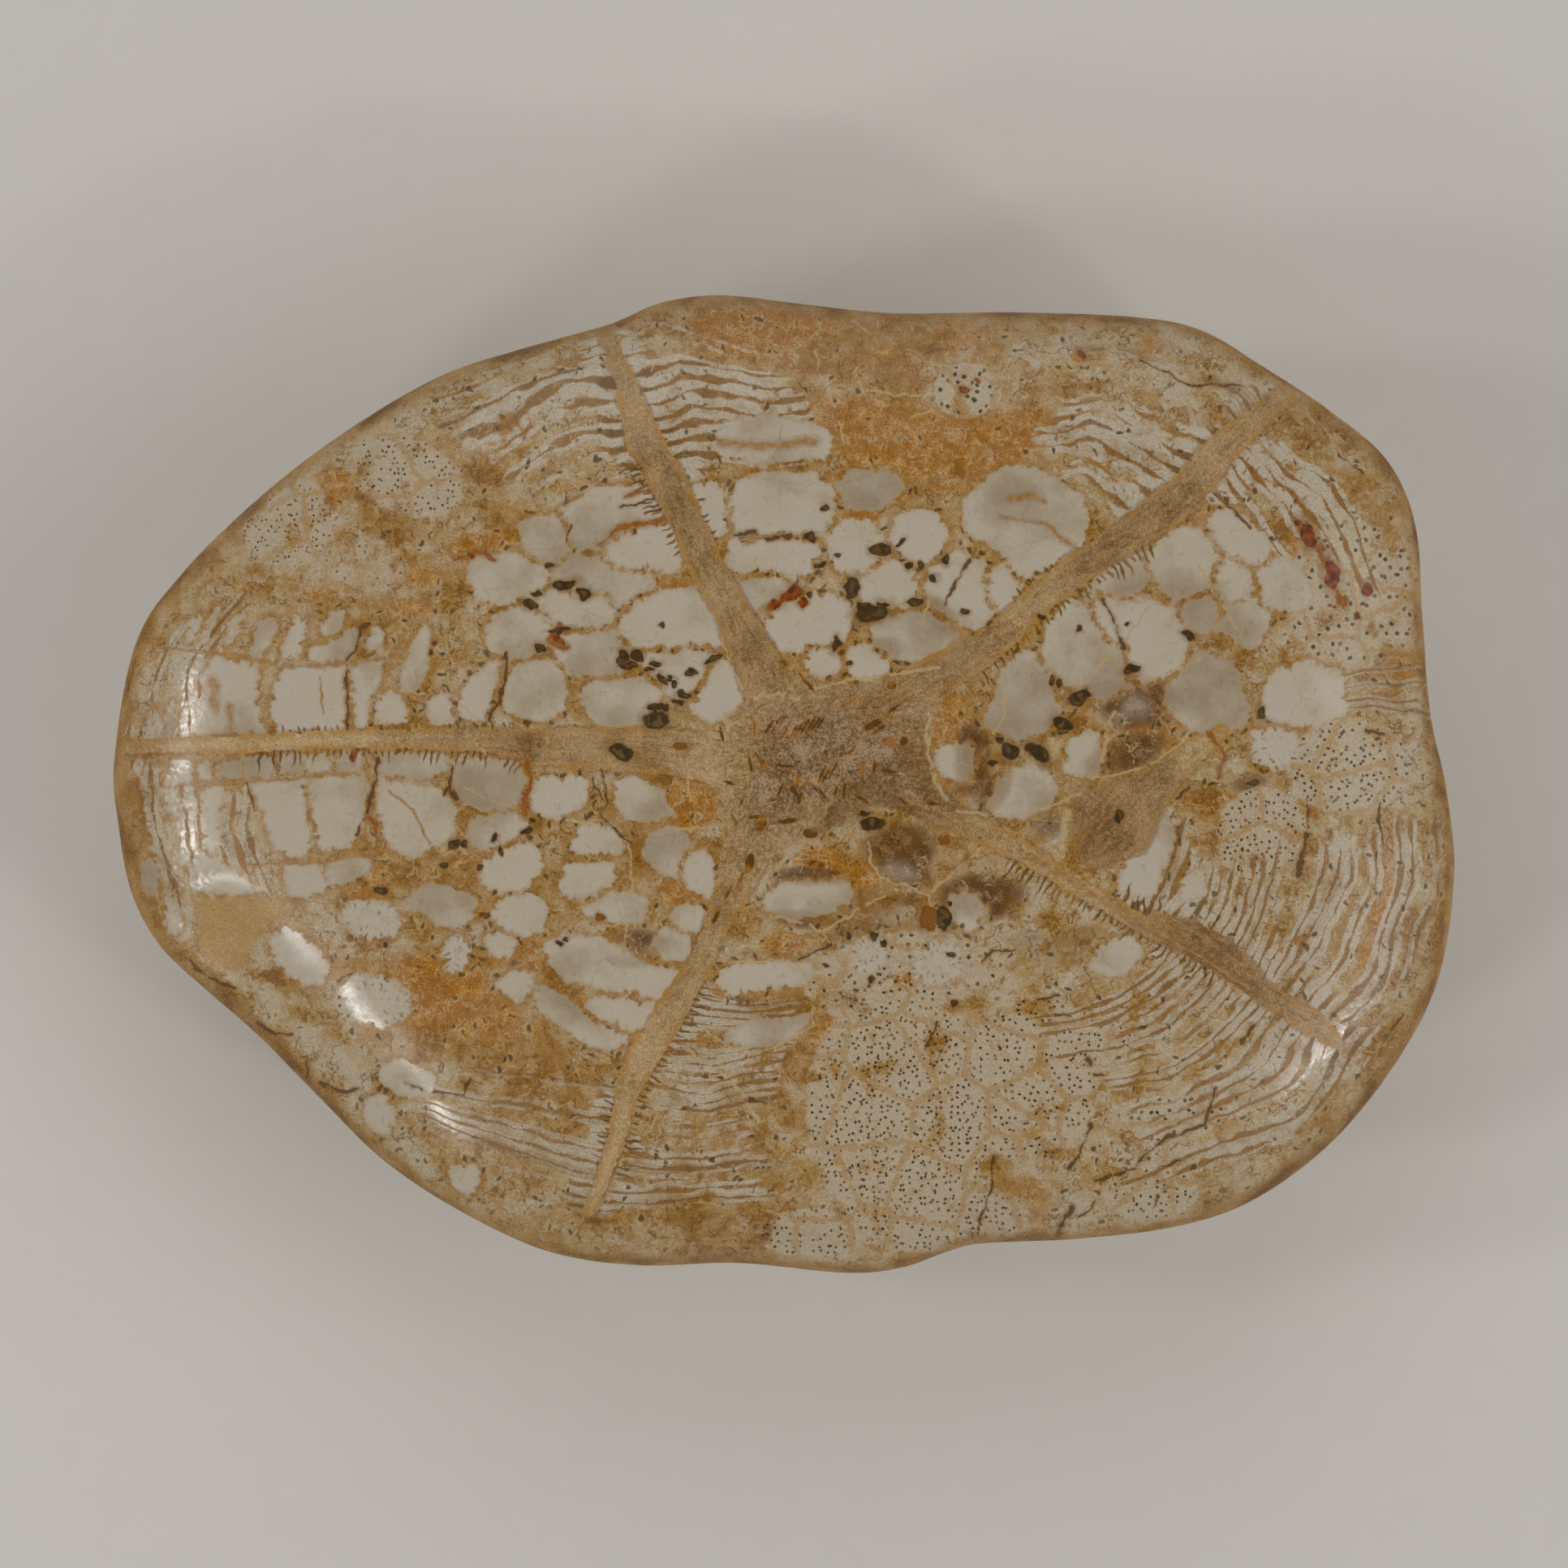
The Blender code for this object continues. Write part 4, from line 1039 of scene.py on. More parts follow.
@dataclass
class Fossil:
    """The whole stone: one closed mesh with its marks.

    Attributes:
        form: Sizes of the body.
        divisions: How often the sphere that it is made from is divided.
        fine_above: Height on that sphere above which its triangles are divided once more, for the polished face.
        pit_depth: Depth of the pits, in metres. The other depths and the unevenness are like it.
        map_corner: Upper left corner of the UV map's square, in pixels of the view from above, and map_side its side.
        dome_strip: Top and height of the strip that the dome takes at the square's foot, and dome_height its pixels.
    """

    form: Form = field(default_factory=Form)
    divisions: int = 7
    fine_above: float = 0.07
    pit_depth: float = 0.00003
    crack_depth: float = 0.00002
    ray_depth: float = 0.00002
    chip_depth: float = 0.000006
    unevenness: float = 0.00002
    map_corner: tuple[float, float] = (132.0, 355.0)
    map_side: float = 1669.0
    dome_strip: tuple[float, float] = (0.255, 0.250)
    dome_height: float = 1223.0

    def sphere(self) -> bmesh.types.BMesh:
        """A sphere of triangles, finer on the part that becomes the face.

        Returns:
            The sphere, with a radius of 1.
        """
        shape = bmesh.new()
        bmesh.ops.create_icosphere(shape, subdivisions=self.divisions, radius=1.0)
        shape.edges.ensure_lookup_table()
        upper = [f for f in shape.faces if all(v.co.z > self.fine_above for v in f.verts)]
        edges = list({edge for f in upper for edge in f.edges})
        bmesh.ops.subdivide_edges(shape, edges=edges, cuts=1, use_grid_fill=True)
        bmesh.ops.triangulate(shape, faces=shape.faces)
        return shape

    def relief(self, seen: Array, share: Array) -> Array:
        """Small depths that show in the polish: pits, cracks, grooves, the chip and a slight unevenness.

        Args:
            seen: Places of the corners as seen from above, in pixels.
            share: Their shares of the radius.

        Returns:
            The depths, in metres.
        """
        x, y = seen.T
        depth = np.zeros(len(seen))
        for pit in DARK_PITS + RUST_PITS:
            near = around(patch_box(pit), seen, 8.0)
            own = self.pit_depth * (1.0 - smooth_step(0.5, 1.4, patch_reach(pit, seen[near])))
            depth[near] = np.maximum(depth[near], own)
        for path, width in CRACKS:
            near = around(corners_of(path), seen, 12.0)
            distance = beside(corners_of(path), seen[near]).distance
            own = self.crack_depth * width / 4.0 * (1.0 - smooth_step(0.0, 2.0 + width, distance))
            depth[near] = np.maximum(depth[near], own)
        for ray in RAYS:
            near = around(np.array(ray, float), seen, 40.0)
            found = beside(np.array(ray, float), seen[near])
            own = self.ray_depth * smooth_step(-2.0, 8.0, found.width - found.distance)
            depth[near] = np.maximum(depth[near], own)
        chip = depth_inside(corners_of(CHIP), seen)[0]
        depth += self.chip_depth * smooth_step(-2.0, 5.0, chip)
        wave = (np.sin(x / 31.0 + 0.8 * np.sin(y / 47.0)) + np.sin(y / 26.0 + 0.9 * np.sin(x / 53.0))
                + 0.6 * np.sin((x + y) / 17.0))
        ripple = np.sin(x / 15.0 + 1.9 * np.sin(y / 37.0)) * np.sin(y / 11.0 + 1.7 * np.sin(x / 41.0))
        wave = wave + 2.2 * ripple * smooth_step(0.86, 0.95, share)
        return depth * smooth_step(1.0, 0.97, share) + self.unevenness * wave

    def build(self) -> bpy.types.Object:
        """Makes the mesh of the stone and lays its marks on it.

        Returns:
            The stone's object, without a material.
        """
        shape = self.sphere()
        mesh = bpy.data.meshes.new("urchin_stone")
        shape.to_mesh(mesh)
        shape.free()
        count = len(mesh.vertices)
        ball = np.empty(count * 3)
        mesh.vertices.foreach_get("co", ball)
        ball = ball.reshape(-1, 3)
        ball /= np.linalg.norm(ball, axis=1)[:, None]
        azimuth = np.arctan2(ball[:, 1], ball[:, 0])
        share, fall, along = self.form.profile((1.0 - ball[:, 2]) / 2.0)
        on_dome = fall > 0.0
        reach = self.form.radius(azimuth)
        offset = reach * share * np.array([np.cos(azimuth), np.sin(azimuth)])
        x, y = offset + place(BODY_CENTRE)[:, None]
        swell, row_offset, run = self.form.petals(share, offset)
        dome = GIRTH_HEIGHT * (1.0 - fall)
        flat = self.form.flat_share
        dome = dome - swell * smooth_step(flat, flat + 0.2, share)
        dome = dome + self.form.lump_height * smooth_step(0.1, 0.5, fall) * np.sin(95.0 * x + 1.3) * np.sin(110.0 * y)
        face = self.form.face_height(share, azimuth)
        for pixel, hollow_reach, depth in HOLLOWS:
            away = np.hypot(*(np.array([x, y]) - place(pixel)[:, None])) / hollow_reach
            face = face - depth * np.exp(-away ** 2) * smooth_step(1.0, 0.93, share)
        z = np.where(on_dome, np.clip(dome, 0.0, None), face)
        zoom = PIXEL * (1.0 - (z - GIRTH_HEIGHT) / EYE_HEIGHT)
        seen = np.array([VIEW_CENTRE[0] + x / zoom, VIEW_CENTRE[1] - y / zoom]).T
        z = np.where(on_dome, z, z - self.relief(seen, share))
        mesh.vertices.foreach_set("co", np.array([x, y, z]).T.ravel())
        corners = np.empty(len(mesh.polygons) * 3, int)
        mesh.loops.foreach_get("vertex_index", corners)
        corners = corners.reshape(-1, 3)
        marks = Marks(seen, seen[corners].mean(axis=1), ~on_dome)
        marks.lay_out()
        middle_run = along[corners].mean(axis=1)
        for name in ("pit_spot", "seam_start", "seam_stop", "vein_start", "vein_stop"):
            marks.fields[name][middle_run > 1.0, 0] = marks.far + (name.endswith("stop"))
        down = (2.0 - along) * reach / PIXEL
        unrolled = np.array([BODY_CENTRE[0] + down * np.cos(azimuth), BODY_CENTRE[1] - down * np.sin(azimuth)])
        marks.fields["seen"] = np.array([*np.where(on_dome, unrolled, seen.T), z / PIXEL]).T
        marks.fields["petal"] = np.array([on_dome * 1.0, row_offset / PIXEL, run / PIXEL]).T
        marks.fields["rim"] = np.array([share, marks.ray_tone, along]).T
        for name, values in marks.fields.items():
            domain = "POINT" if len(values) == count else "FACE"
            attribute = mesh.attributes.new(name, "FLOAT_VECTOR", domain)
            attribute.data.foreach_set("vector", values.astype(np.float32).ravel())
        self.unwrap(mesh, corners, azimuth, along, reach)
        mesh.shade_smooth()
        mesh.update()
        stone = bpy.data.objects.new("urchin_stone", mesh)
        bpy.context.scene.collection.objects.link(stone)
        return stone

    def unwrap(self, mesh: bpy.types.Mesh, corners: Array, azimuth: Array, along: Array, reach: Array) -> None:
        """Gives the mesh its UV map: the face as seen from above, and the dome below it in a flatter strip.

        Args:
            mesh: The stone's mesh.
            corners: The corners of each triangle.
            azimuth: The corners' directions from the body's centre.
            along: Their runs along the profile.
            reach: The girth's distance in their directions.
        """
        on_face = along[corners].mean(axis=1) <= 1.0
        along, azimuth, reach = along[corners], azimuth[corners], reach[corners]
        radius = np.where(on_face[:, None], along, 2.0 - along) * reach / PIXEL
        u = (BODY_CENTRE[0] + radius * np.cos(azimuth) - self.map_corner[0]) / self.map_side
        down = BODY_CENTRE[1] - radius * np.sin(azimuth) - self.map_corner[1]
        strip_top, strip_height = self.dome_strip
        v = np.where(on_face[:, None], 1.0 - down / self.map_side, strip_top - strip_height * down / self.dome_height)
        layer = mesh.uv_layers.new(name="OFBake")
        layer.data.foreach_set("uv", np.array([u, v]).transpose(1, 2, 0).astype(np.float32).ravel())


def linear(tint: Tint, light: float = 1.0, haze: float = 0.0) -> tuple[float, float, float, float]:
    """A colour given as it should look, from 0 to 255, as the share of a light that it sends back under a haze."""
    parts = [(c / 255.0 / 12.92) if c < 10.3 else ((c / 255.0 + 0.055) / 1.055) ** 2.4 for c in tint]
    return (*(min(max(part - haze, 0.0) / light, 1.0) for part in parts), 1.0)


@dataclass(frozen=True)
class Wire:
    """A node's output times a factor plus an offset, which can be reckoned with like a number.

    Factors and offsets are kept here for as long as they can be, so that a sum of weighted values takes one node for
    each value.
    """

    graph: "Graph"
    source: bpy.types.NodeSocket
    factor: float = 1.0
    offset: float = 0.0

    @property
    def socket(self) -> bpy.types.NodeSocket:
        """The output that carries the value, from one more node where it has a factor or an offset.

        Returns:
            That output.
        """
        if (self.factor, self.offset) == (1.0, 0.0):
            return self.source
        return self.graph.math("MULTIPLY_ADD", Wire(self.graph, self.source), self.factor, self.offset).source

    def __add__(self, other: "Wire | float") -> "Wire":
        """Sum.

        Args:
            other: What is added.

        Returns:
            The sum.
        """
        if not isinstance(other, Wire):
            return Wire(self.graph, self.source, self.factor, self.offset + other)
        share = other.factor / self.factor
        total = self.graph.math("MULTIPLY_ADD", Wire(self.graph, other.source), share, Wire(self.graph, self.source))
        return Wire(self.graph, total.source, self.factor, self.offset + other.offset)

    def __sub__(self, other: "Wire | float") -> "Wire":
        """Difference."""
        return self + other * -1.0

    def __rsub__(self, other: float) -> "Wire":
        """Difference from a number."""
        return Wire(self.graph, self.source, -self.factor, other - self.offset)

    def __mul__(self, other: "Wire | float") -> "Wire":
        """Product.

        Args:
            other: What it is multiplied by.

        Returns:
            The product.
        """
        if not isinstance(other, Wire):
            return Wire(self.graph, self.source, self.factor * other, self.offset * other)
        return self.graph.math("MULTIPLY", self, other)

    def __truediv__(self, other: "Wire | float") -> "Wire":
        """Quotient."""
        return self.graph.math("DIVIDE", self, other) if isinstance(other, Wire) else self * (1.0 / other)

    def __rtruediv__(self, other: float) -> "Wire":
        """A number divided by the wire."""
        return self.graph.math("DIVIDE", other, self)

    __radd__ = __add__
    __rmul__ = __mul__


Value = Wire | float | tuple


@dataclass(frozen=True)
class Graph:
    """Adds nodes to a material's or a group's tree.

    Attributes:
        tree: The tree that the nodes go into.
        light: Strength of the studio's light, which colours are given under.
        haze: Light that the polish mirrors from all around, which is added to every colour.
    """

    tree: bpy.types.NodeTree
    light: float = 1.0
    haze: float = 0.0

    def feed(self, socket: bpy.types.NodeSocket, value: Value) -> None:
        """Links an output to an input, or sets the input's own value.

        Args:
            socket: The input.
            value: The output or the value.
        """
        if isinstance(value, Wire):
            self.tree.links.new(value.socket, socket)
        else:
            socket.default_value = value

    def add(self, kind: str, feeds: dict[str | int, Value], out: str | int = 0, **settings: object) -> Wire:
        """Adds a node.

        Args:
            kind: Its type's name after ShaderNode.
            feeds: What goes into its inputs, by name or number.
            out: The output to return.
            **settings: Its own settings.

        Returns:
            The output asked for.
        """
        node = self.tree.nodes.new("ShaderNode" + kind)
        for name, setting in settings.items():
            setattr(node, name, setting)
        for name, value in feeds.items():
            self.feed(node.inputs[name], value)
        return Wire(self, node.outputs[out])

    def math(self, operation: str, *values: Value) -> Wire:
        """One step of arithmetic on numbers."""
        return self.add("Math", dict(enumerate(values)), operation=operation)

    def vector(self, operation: str, *values: Value, out: int = 0) -> Wire:
        """One step of arithmetic on vectors."""
        return self.add("VectorMath", dict(enumerate(values)), out, operation=operation)

    def scaled(self, vector: Wire, factor: Value) -> Wire:
        """A vector times a number."""
        return self.add("VectorMath", {0: vector, "Scale": factor}, operation="SCALE")

    def attribute(self, name: str) -> Wire:
        """A vector attribute of the mesh."""
        return self.add("Attribute", {}, "Vector", attribute_name=name)

    def parts(self, vector: Wire) -> tuple[Wire, Wire, Wire]:
        """The three numbers of a vector."""
        split = self.add("SeparateXYZ", {0: vector})
        return tuple(Wire(self, output) for output in split.socket.node.outputs)

    def joined(self, x: Value, y: Value, z: Value = 0.0) -> Wire:
        """A vector of three numbers."""
        return self.add("CombineXYZ", {0: x, 1: y, 2: z})

    def rise(self, value: Wire, low: Value, high: Value, bottom: float = 0.0, top: float = 1.0,
             shape: str = "SMOOTHSTEP") -> Wire:
        """Smooth rise from bottom to top between a low and a high value.

        Args:
            value: The value to look at.
            low: Where the rise begins.
            high: Where it ends.
            bottom: The result below it.
            top: The result above it.
            shape: Its kind.

        Returns:
            The result.
        """
        if not isinstance(low, Wire) and not isinstance(high, Wire):
            low, high = ((limit - value.offset) / value.factor for limit in (low, high))
            value = Wire(self, value.source)
        return self.add("MapRange", {0: value, 1: low, 2: high, 3: bottom, 4: top}, interpolation_type=shape)

    def line(self, value: Wire, low: float, high: float, bottom: float = 0.0, top: float = 1.0) -> Wire:
        """Straight rise from bottom to top between a low and a high value."""
        return self.rise(value, low, high, bottom, top, "LINEAR")

    def noise(self, where: Wire, size: float, detail: float = 2.0, rough: float = 0.5, room: str = "3D") -> Wire:
        """Noise from 0 to 1 with lumps of a size in pixels, spread out over the whole range.

        Args:
            where: The place.
            size: The lumps' size.
            detail: How many finer layers it has.
            rough: How strong those are.
            room: How many dimensions it has.

        Returns:
            The noise.
        """
        raw = self.add("TexNoise", {"Vector": where, "Scale": 1.0 / size, "Detail": detail, "Roughness": rough},
                       noise_dimensions=room)
        return self.line(raw, 0.27, 0.73)

    def dice(self, where: Wire) -> Wire:
        """A chance number from 0 to 1 for each place."""
        return self.add("TexWhiteNoise", {"Vector": where})

    def colour(self, tint: Tint) -> tuple[float, float, float, float]:
        """A colour given as it should look under the studio's light."""
        return linear(tint, self.light, self.haze)

    def blend(self, share: Value, below: Wire | Tint, above: Wire | Tint) -> Wire:
        """Mixes two colours: the first at a share of 0, the second at 1."""
        below, above = (c if isinstance(c, Wire) else self.colour(c) for c in (below, above))
        return self.add("Mix", {0: share, 6: below, 7: above}, 2, data_type="RGBA", clamp_factor=True)

    def ramp(self, value: Wire, stops: tuple[tuple[float, Tint], ...]) -> Wire:
        """Colours that follow a value from stop to stop.

        Args:
            value: The value.
            stops: Values from 0 to 1 with their colours.

        Returns:
            The colour.
        """
        wire = self.add("ValToRGB", {0: value})
        elements = wire.socket.node.color_ramp.elements
        while len(elements) < len(stops):
            elements.new(0.5)
        for element, (position, tint) in zip(elements, stops):
            element.position = position
            element.color = self.colour(tint)
        return wire

    def group(self, tree: bpy.types.NodeTree, feeds: dict[str, Value], out: str | int = 0) -> Wire:
        """Places a node group.

        Args:
            tree: The group's tree.
            feeds: What goes into its inputs, by name.
            out: The output to return.

        Returns:
            The output asked for.
        """
        node = self.tree.nodes.new("ShaderNodeGroup")
        node.node_tree = tree
        for name, value in feeds.items():
            self.feed(node.inputs[name], value)
        return Wire(self, node.outputs[out])


class GroupMaker:
    """Makes the node groups that the finishes share."""

    def start(self, name: str, inputs: dict[str, str], outputs: dict[str, str]) -> tuple[Graph, dict[str, Wire],
                                                                                         bpy.types.Node]:
        """Makes an empty group.

        Args:
            name: The group's name.
            inputs: Names of its inputs with their kinds.
            outputs: Names of its outputs with their kinds.

        Returns:
            Its graph, its inputs by name and its output node.
        """
        tree = bpy.data.node_groups.new(name, "ShaderNodeTree")
        for direction, sockets in (("INPUT", inputs), ("OUTPUT", outputs)):
            for socket, kind in sockets.items():
                tree.interface.new_socket(socket, in_out=direction, socket_type="NodeSocket" + kind)
        graph = Graph(tree)
        entry = tree.nodes.new("NodeGroupInput")
        leave = tree.nodes.new("NodeGroupOutput")
        return graph, {socket: Wire(graph, entry.outputs[socket]) for socket in inputs}, leave

    def scatter(self) -> bpy.types.NodeTree:
        """Turned ovals, one in each cell, such as dots, needles and specks.

        Returns:
            The group's tree.
        """
        graph, given, leave = self.start(
            "scattered_ovals",
            {"Place": "Vector", "Cell": "Float", "Length": "Float", "Width": "Float", "Angle": "Float",
             "Spread": "Float", "Amount": "Float"}, {"Mask": "Float"})
        cells = graph.add("TexVoronoi", {"Vector": given["Place"], "Scale": 1.0 / given["Cell"]}, "Position",
                          voronoi_dimensions="2D")
        chance = graph.parts(Wire(graph, cells.socket.node.outputs["Color"]))
        away = graph.vector("MULTIPLY", graph.vector("SUBTRACT", given["Place"], cells), (1.0, 1.0, 0.0))
        turn = given["Angle"] + (chance[0] - 0.5) * 2.0 * given["Spread"]
        turned = graph.add("VectorRotate", {"Vector": away, "Angle": turn}, rotation_type="Z_AXIS")
        reach = graph.joined(given["Length"], given["Width"], 1.0)
        distance = graph.vector("LENGTH", graph.vector("DIVIDE", turned, reach), out=1)
        shown = graph.math("LESS_THAN", chance[1], given["Amount"])
        graph.feed(leave.inputs["Mask"], graph.rise(distance, 1.25, 0.6) * shown)
        return graph.tree

    def stretch(self) -> bpy.types.NodeTree:
        """Distance from the stretch of seam that a triangle carries, as a multiple of its half width.

        Returns:
            The group's tree.
        """
        graph, given, leave = self.start(
            "seam_distance", {"Place": "Vector", "Start": "Vector", "Stop": "Vector"}, {"Distance": "Float"})
        flat = (1.0, 1.0, 0.0)
        from_start = graph.vector("MULTIPLY", graph.vector("SUBTRACT", given["Place"], given["Start"]), flat)
        run = graph.vector("MULTIPLY", graph.vector("SUBTRACT", given["Stop"], given["Start"]), flat)
        share = graph.vector("DOT_PRODUCT", from_start, run, out=1) / graph.vector("DOT_PRODUCT", run, run, out=1)
        share = graph.math("MINIMUM", graph.math("MAXIMUM", share, 0.0), 1.0)
        away = graph.vector("SUBTRACT", from_start, graph.scaled(run, share))
        width = graph.parts(given["Start"])[2]
        graph.feed(leave.inputs["Distance"], graph.vector("LENGTH", away, out=1) / width)
        return graph.tree


@dataclass(frozen=True)
class PolishedFossil:
    """Finish of the stone: polished calcite plates and sediment on the face, worn bare stone on the dome.

    Attributes:
        light: Strength of the studio's light, which the tints are given under.
        haze: Light that the polish mirrors from all around.
    """

    light: float = 0.66
    haze: float = 0.006
    plate_white: Tint = (170, 159, 141)
    plate_grey: Tint = (151, 137, 118)
    plate_warm: Tint = (156, 137, 106)
    halo: Tint = (130, 92, 44)
    orange: Tint = (150, 103, 44)
    brown: Tint = (80, 53, 26)
    stripe_line: Tint = (116, 82, 40)
    stripe_tan: Tint = (146, 110, 62)
    stripe_dark: Tint = (84, 62, 30)
    pore_ground: Tint = (166, 151, 127)
    ray_dark: Tint = (113, 84, 52)
    ray_fill: Tint = (143, 116, 80)
    ray_light: Tint = (171, 149, 112)
    ray_gold: Tint = (156, 117, 62)
    cream: Tint = (168, 146, 106)
    tooth: Tint = (88, 64, 24)
    mouth_dark: Tint = (92, 66, 37)
    mouth_light: Tint = (152, 126, 94)
    crack: Tint = (76, 50, 18)
    rust: Tint = (126, 64, 8)
    olive: Tint = (48, 36, 3)
    amber: Tint = (136, 80, 16)
    dark: Tint = (56, 40, 16)

    def stone(self) -> bpy.types.Material:
        """Makes the stone's material.

        Returns:
            The material.
        """
        material = bpy.data.materials.new("polished_fossil")
        material.use_nodes = True
        tree = material.node_tree
        shader = tree.nodes["Principled BSDF"]
        graph = Graph(tree, self.light, self.haze)
        makers = GroupMaker()
        painter = FacePainter(self, graph, makers.scatter(), makers.stretch())
        face, rough, height = painter.paint()
        dome, dome_rough, dome_height = painter.paint_dome()
        under = painter.on_dome
        graph.feed(shader.inputs["Base Color"], graph.blend(under, face, dome))
        graph.feed(shader.inputs["Roughness"], rough + (dome_rough - rough) * under)
        bump = graph.add("Bump", {"Height": height + (dome_height - height) * under, "Strength": 1.0,
                                  "Distance": 0.00004})
        graph.feed(shader.inputs["Normal"], bump)
        shader.inputs["IOR"].default_value = 1.48
        return material


class FacePainter:
    """Paints the stone layer by layer, from the ground up.

    Attributes:
        finish: The tints.
        graph: The material's graph.
        ovals: Node group of scattered ovals.
        stretch: Node group of the distance from a seam.
        colour: What is painted so far.
    """

    def __init__(self, finish: PolishedFossil, graph: Graph, ovals: bpy.types.NodeTree,
                 stretch: bpy.types.NodeTree) -> None:
        """Reads the stone's attributes and makes the noises that the layers share.

        Args:
            finish: The tints.
            graph: The material's graph.
            ovals: Node group of scattered ovals.
            stretch: Node group of the distance from a seam.
        """
        self.finish = finish
        self.graph = graph
        self.ovals = ovals
        self.stretch = stretch
        self.seen = graph.attribute("seen")
        self.broad = graph.noise(self.seen, 110.0, 0.0)
        self.cloud = graph.noise(self.seen, 42.0, 1.0)
        self.mid = graph.noise(self.seen, 17.0, 1.0)
        self.small = graph.noise(self.seen, 7.0, 0.0)
        self.grain = graph.noise(self.seen, 2.6, 1.0, 0.7)
        self.jitter = (self.small - 0.5) * 4.0 + (self.mid - 0.5) * 8.0
        self.on_dome = graph.parts(graph.attribute("petal"))[0]
        wave = graph.add("TexNoise", {"Vector": self.seen, "Scale": 1.0 / 14.0, "Detail": 1.0}, "Color",
                         noise_dimensions="2D")
        self.sway = graph.vector("SUBTRACT", wave, (0.5, 0.5, 0.5))
        self.swayed = graph.vector("ADD", self.seen, graph.scaled(self.sway, 9.0))

    def lay(self, share: Value, above: Wire | Tint) -> None:
        """Lays a colour on what is painted so far."""
        self.colour = self.graph.blend(share, self.colour, above)

    def dots(self, cell: float, length: float, width: float, angle: Value, spread: float, amount: Value,
             where: Wire) -> Wire:
        """Scattered ovals of a size in pixels."""
        return self.graph.group(self.ovals, {"Place": where, "Cell": cell, "Length": length, "Width": width,
                                             "Angle": angle, "Spread": spread, "Amount": amount})

    def ground(self) -> None:
        """The tan stone between the plates: crushed fragments, paler or browner in places, with their stains."""
        g, f = self.graph, self.finish
        pale, tan, grey = g.parts(g.attribute("ground"))
        self.orange, self.brown, self.chip = g.parts(g.attribute("stain"))
        far = g.vector("ADD", self.seen, g.scaled(self.sway, 30.0))
        chance = g.parts(g.add("TexVoronoi", {"Vector": far, "Scale": 1.0 / 21.0}, "Color", voronoi_dimensions="2D"))
        self.hairline = g.add("TexVoronoi", {"Vector": far, "Scale": 1.0 / 24.0}, "Distance",
                              voronoi_dimensions="2D", feature="DISTANCE_TO_EDGE")
        mottle = self.broad * 0.14 + self.cloud * 0.28 + self.mid * 0.2 + self.small * 0.1 + self.grain * 0.12
        mottle = mottle + chance[0] * 0.22 + pale * 0.3 - tan * 0.12
        self.colour = g.ramp(mottle, ((0.26, (122, 88, 46)), (0.4, (142, 107, 60)), (0.53, (152, 123, 79)),
                                      (0.65, (159, 138, 104)), (0.8, (166, 152, 129))))
        self.lay(tan * (0.35 + self.cloud * 0.4), g.blend(self.mid, (140, 100, 48), (158, 120, 68)))
        crumb = g.rise(self.hairline + (self.grain - 0.5) * 0.1, 0.1, 0.02)
        self.lay(crumb * g.rise(chance[1], 0.35, 0.7) * 0.7, (106, 73, 32))
        self.lay(crumb * g.rise(chance[1], 0.35, 0.1) * 0.75, f.cream)
        cloudy = (self.mid * 0.35 + self.cloud * 0.45 + self.grain * 0.2 - 0.5) * 1.1
        stain = g.rise(self.orange + cloudy * self.orange, 0.12, 0.56)
        dyed = g.ramp(self.small * 0.2 + self.grain * 0.4 + self.mid * 0.4,
                      ((0.2, (136, 88, 32)), (0.5, f.orange), (0.8, (168, 130, 78))))
        self.lay(stain * 0.9, dyed)
        stain = g.rise(self.brown + cloudy * g.rise(self.brown, 0.0, 0.3), 0.08, 0.85)
        self.lay(stain * 0.9,
                 g.blend(g.rise(self.mid * 0.6 + self.grain * 0.4, 0.35, 0.75), f.brown, (120, 88, 54)))
        self.stained = stain
        self.lay(grey * (0.5 + 0.4 * self.mid), f.plate_grey)

    def plates(self) -> None:
        """White calcite plates, clouded with grey, with a golden seam and here and there a ragged edge."""
        g, f = self.graph, self.finish
        depth, along, own = g.parts(g.attribute("plate"))
        comb = g.noise(g.joined(along, own * 50.0), 12.0, 1.0, room="2D")
        ragged = g.rise(own * 0.7 + self.broad * 0.6, 0.6, 0.85)
        notch = g.rise(comb, 0.5, 1.0) * (1.0 + 5.5 * ragged)
        edge = depth + (self.small - 0.5) * 2.6 + (self.mid - 0.5) * 4.5 + (self.grain - 0.5) * 2.0
        edge = edge - notch * g.rise(depth, 20.0, 5.0)
        halo = g.rise(edge, -9.0, -1.5) * (0.3 + 0.7 * g.rise(self.mid * 0.5 + self.broad * 0.5, 0.25, 0.6))
        self.lay(halo * 0.8, g.blend(self.mid * 0.7 + self.small * 0.3, f.halo, (158, 124, 78)))
        veil = self.cloud * 0.3 + own * 0.35 + self.broad * 0.4 + self.small * 0.06 + 0.04 - self.brown * 0.4
        white = g.ramp(veil, ((0.22, (145, 130, 109)), (0.42, (157, 143, 123)), (0.58, f.plate_white),
                              (0.85, (172, 161, 146))))
        white = g.blend(g.rise(edge, 7.0, 0.0) * 0.5, white, f.plate_warm)
        white = g.blend(self.stained * 0.35, white, (134, 106, 72))
        dotted = g.rise(own, 0.95, 1.0)
        row = (depth + (self.mid - 0.5) * 9.0) / 10.5
        step = g.math("FLOOR", row)
        run = along / 10.0 + step * 0.5 + self.mid * 1.1
        part = g.math("FRACT", run) - 0.5
        chance = g.dice(g.joined(g.math("FLOOR", run), step))
        oval = g.vector("LENGTH", g.joined(part * 5.6, (row - step - 0.5) * 2.8), out=1)
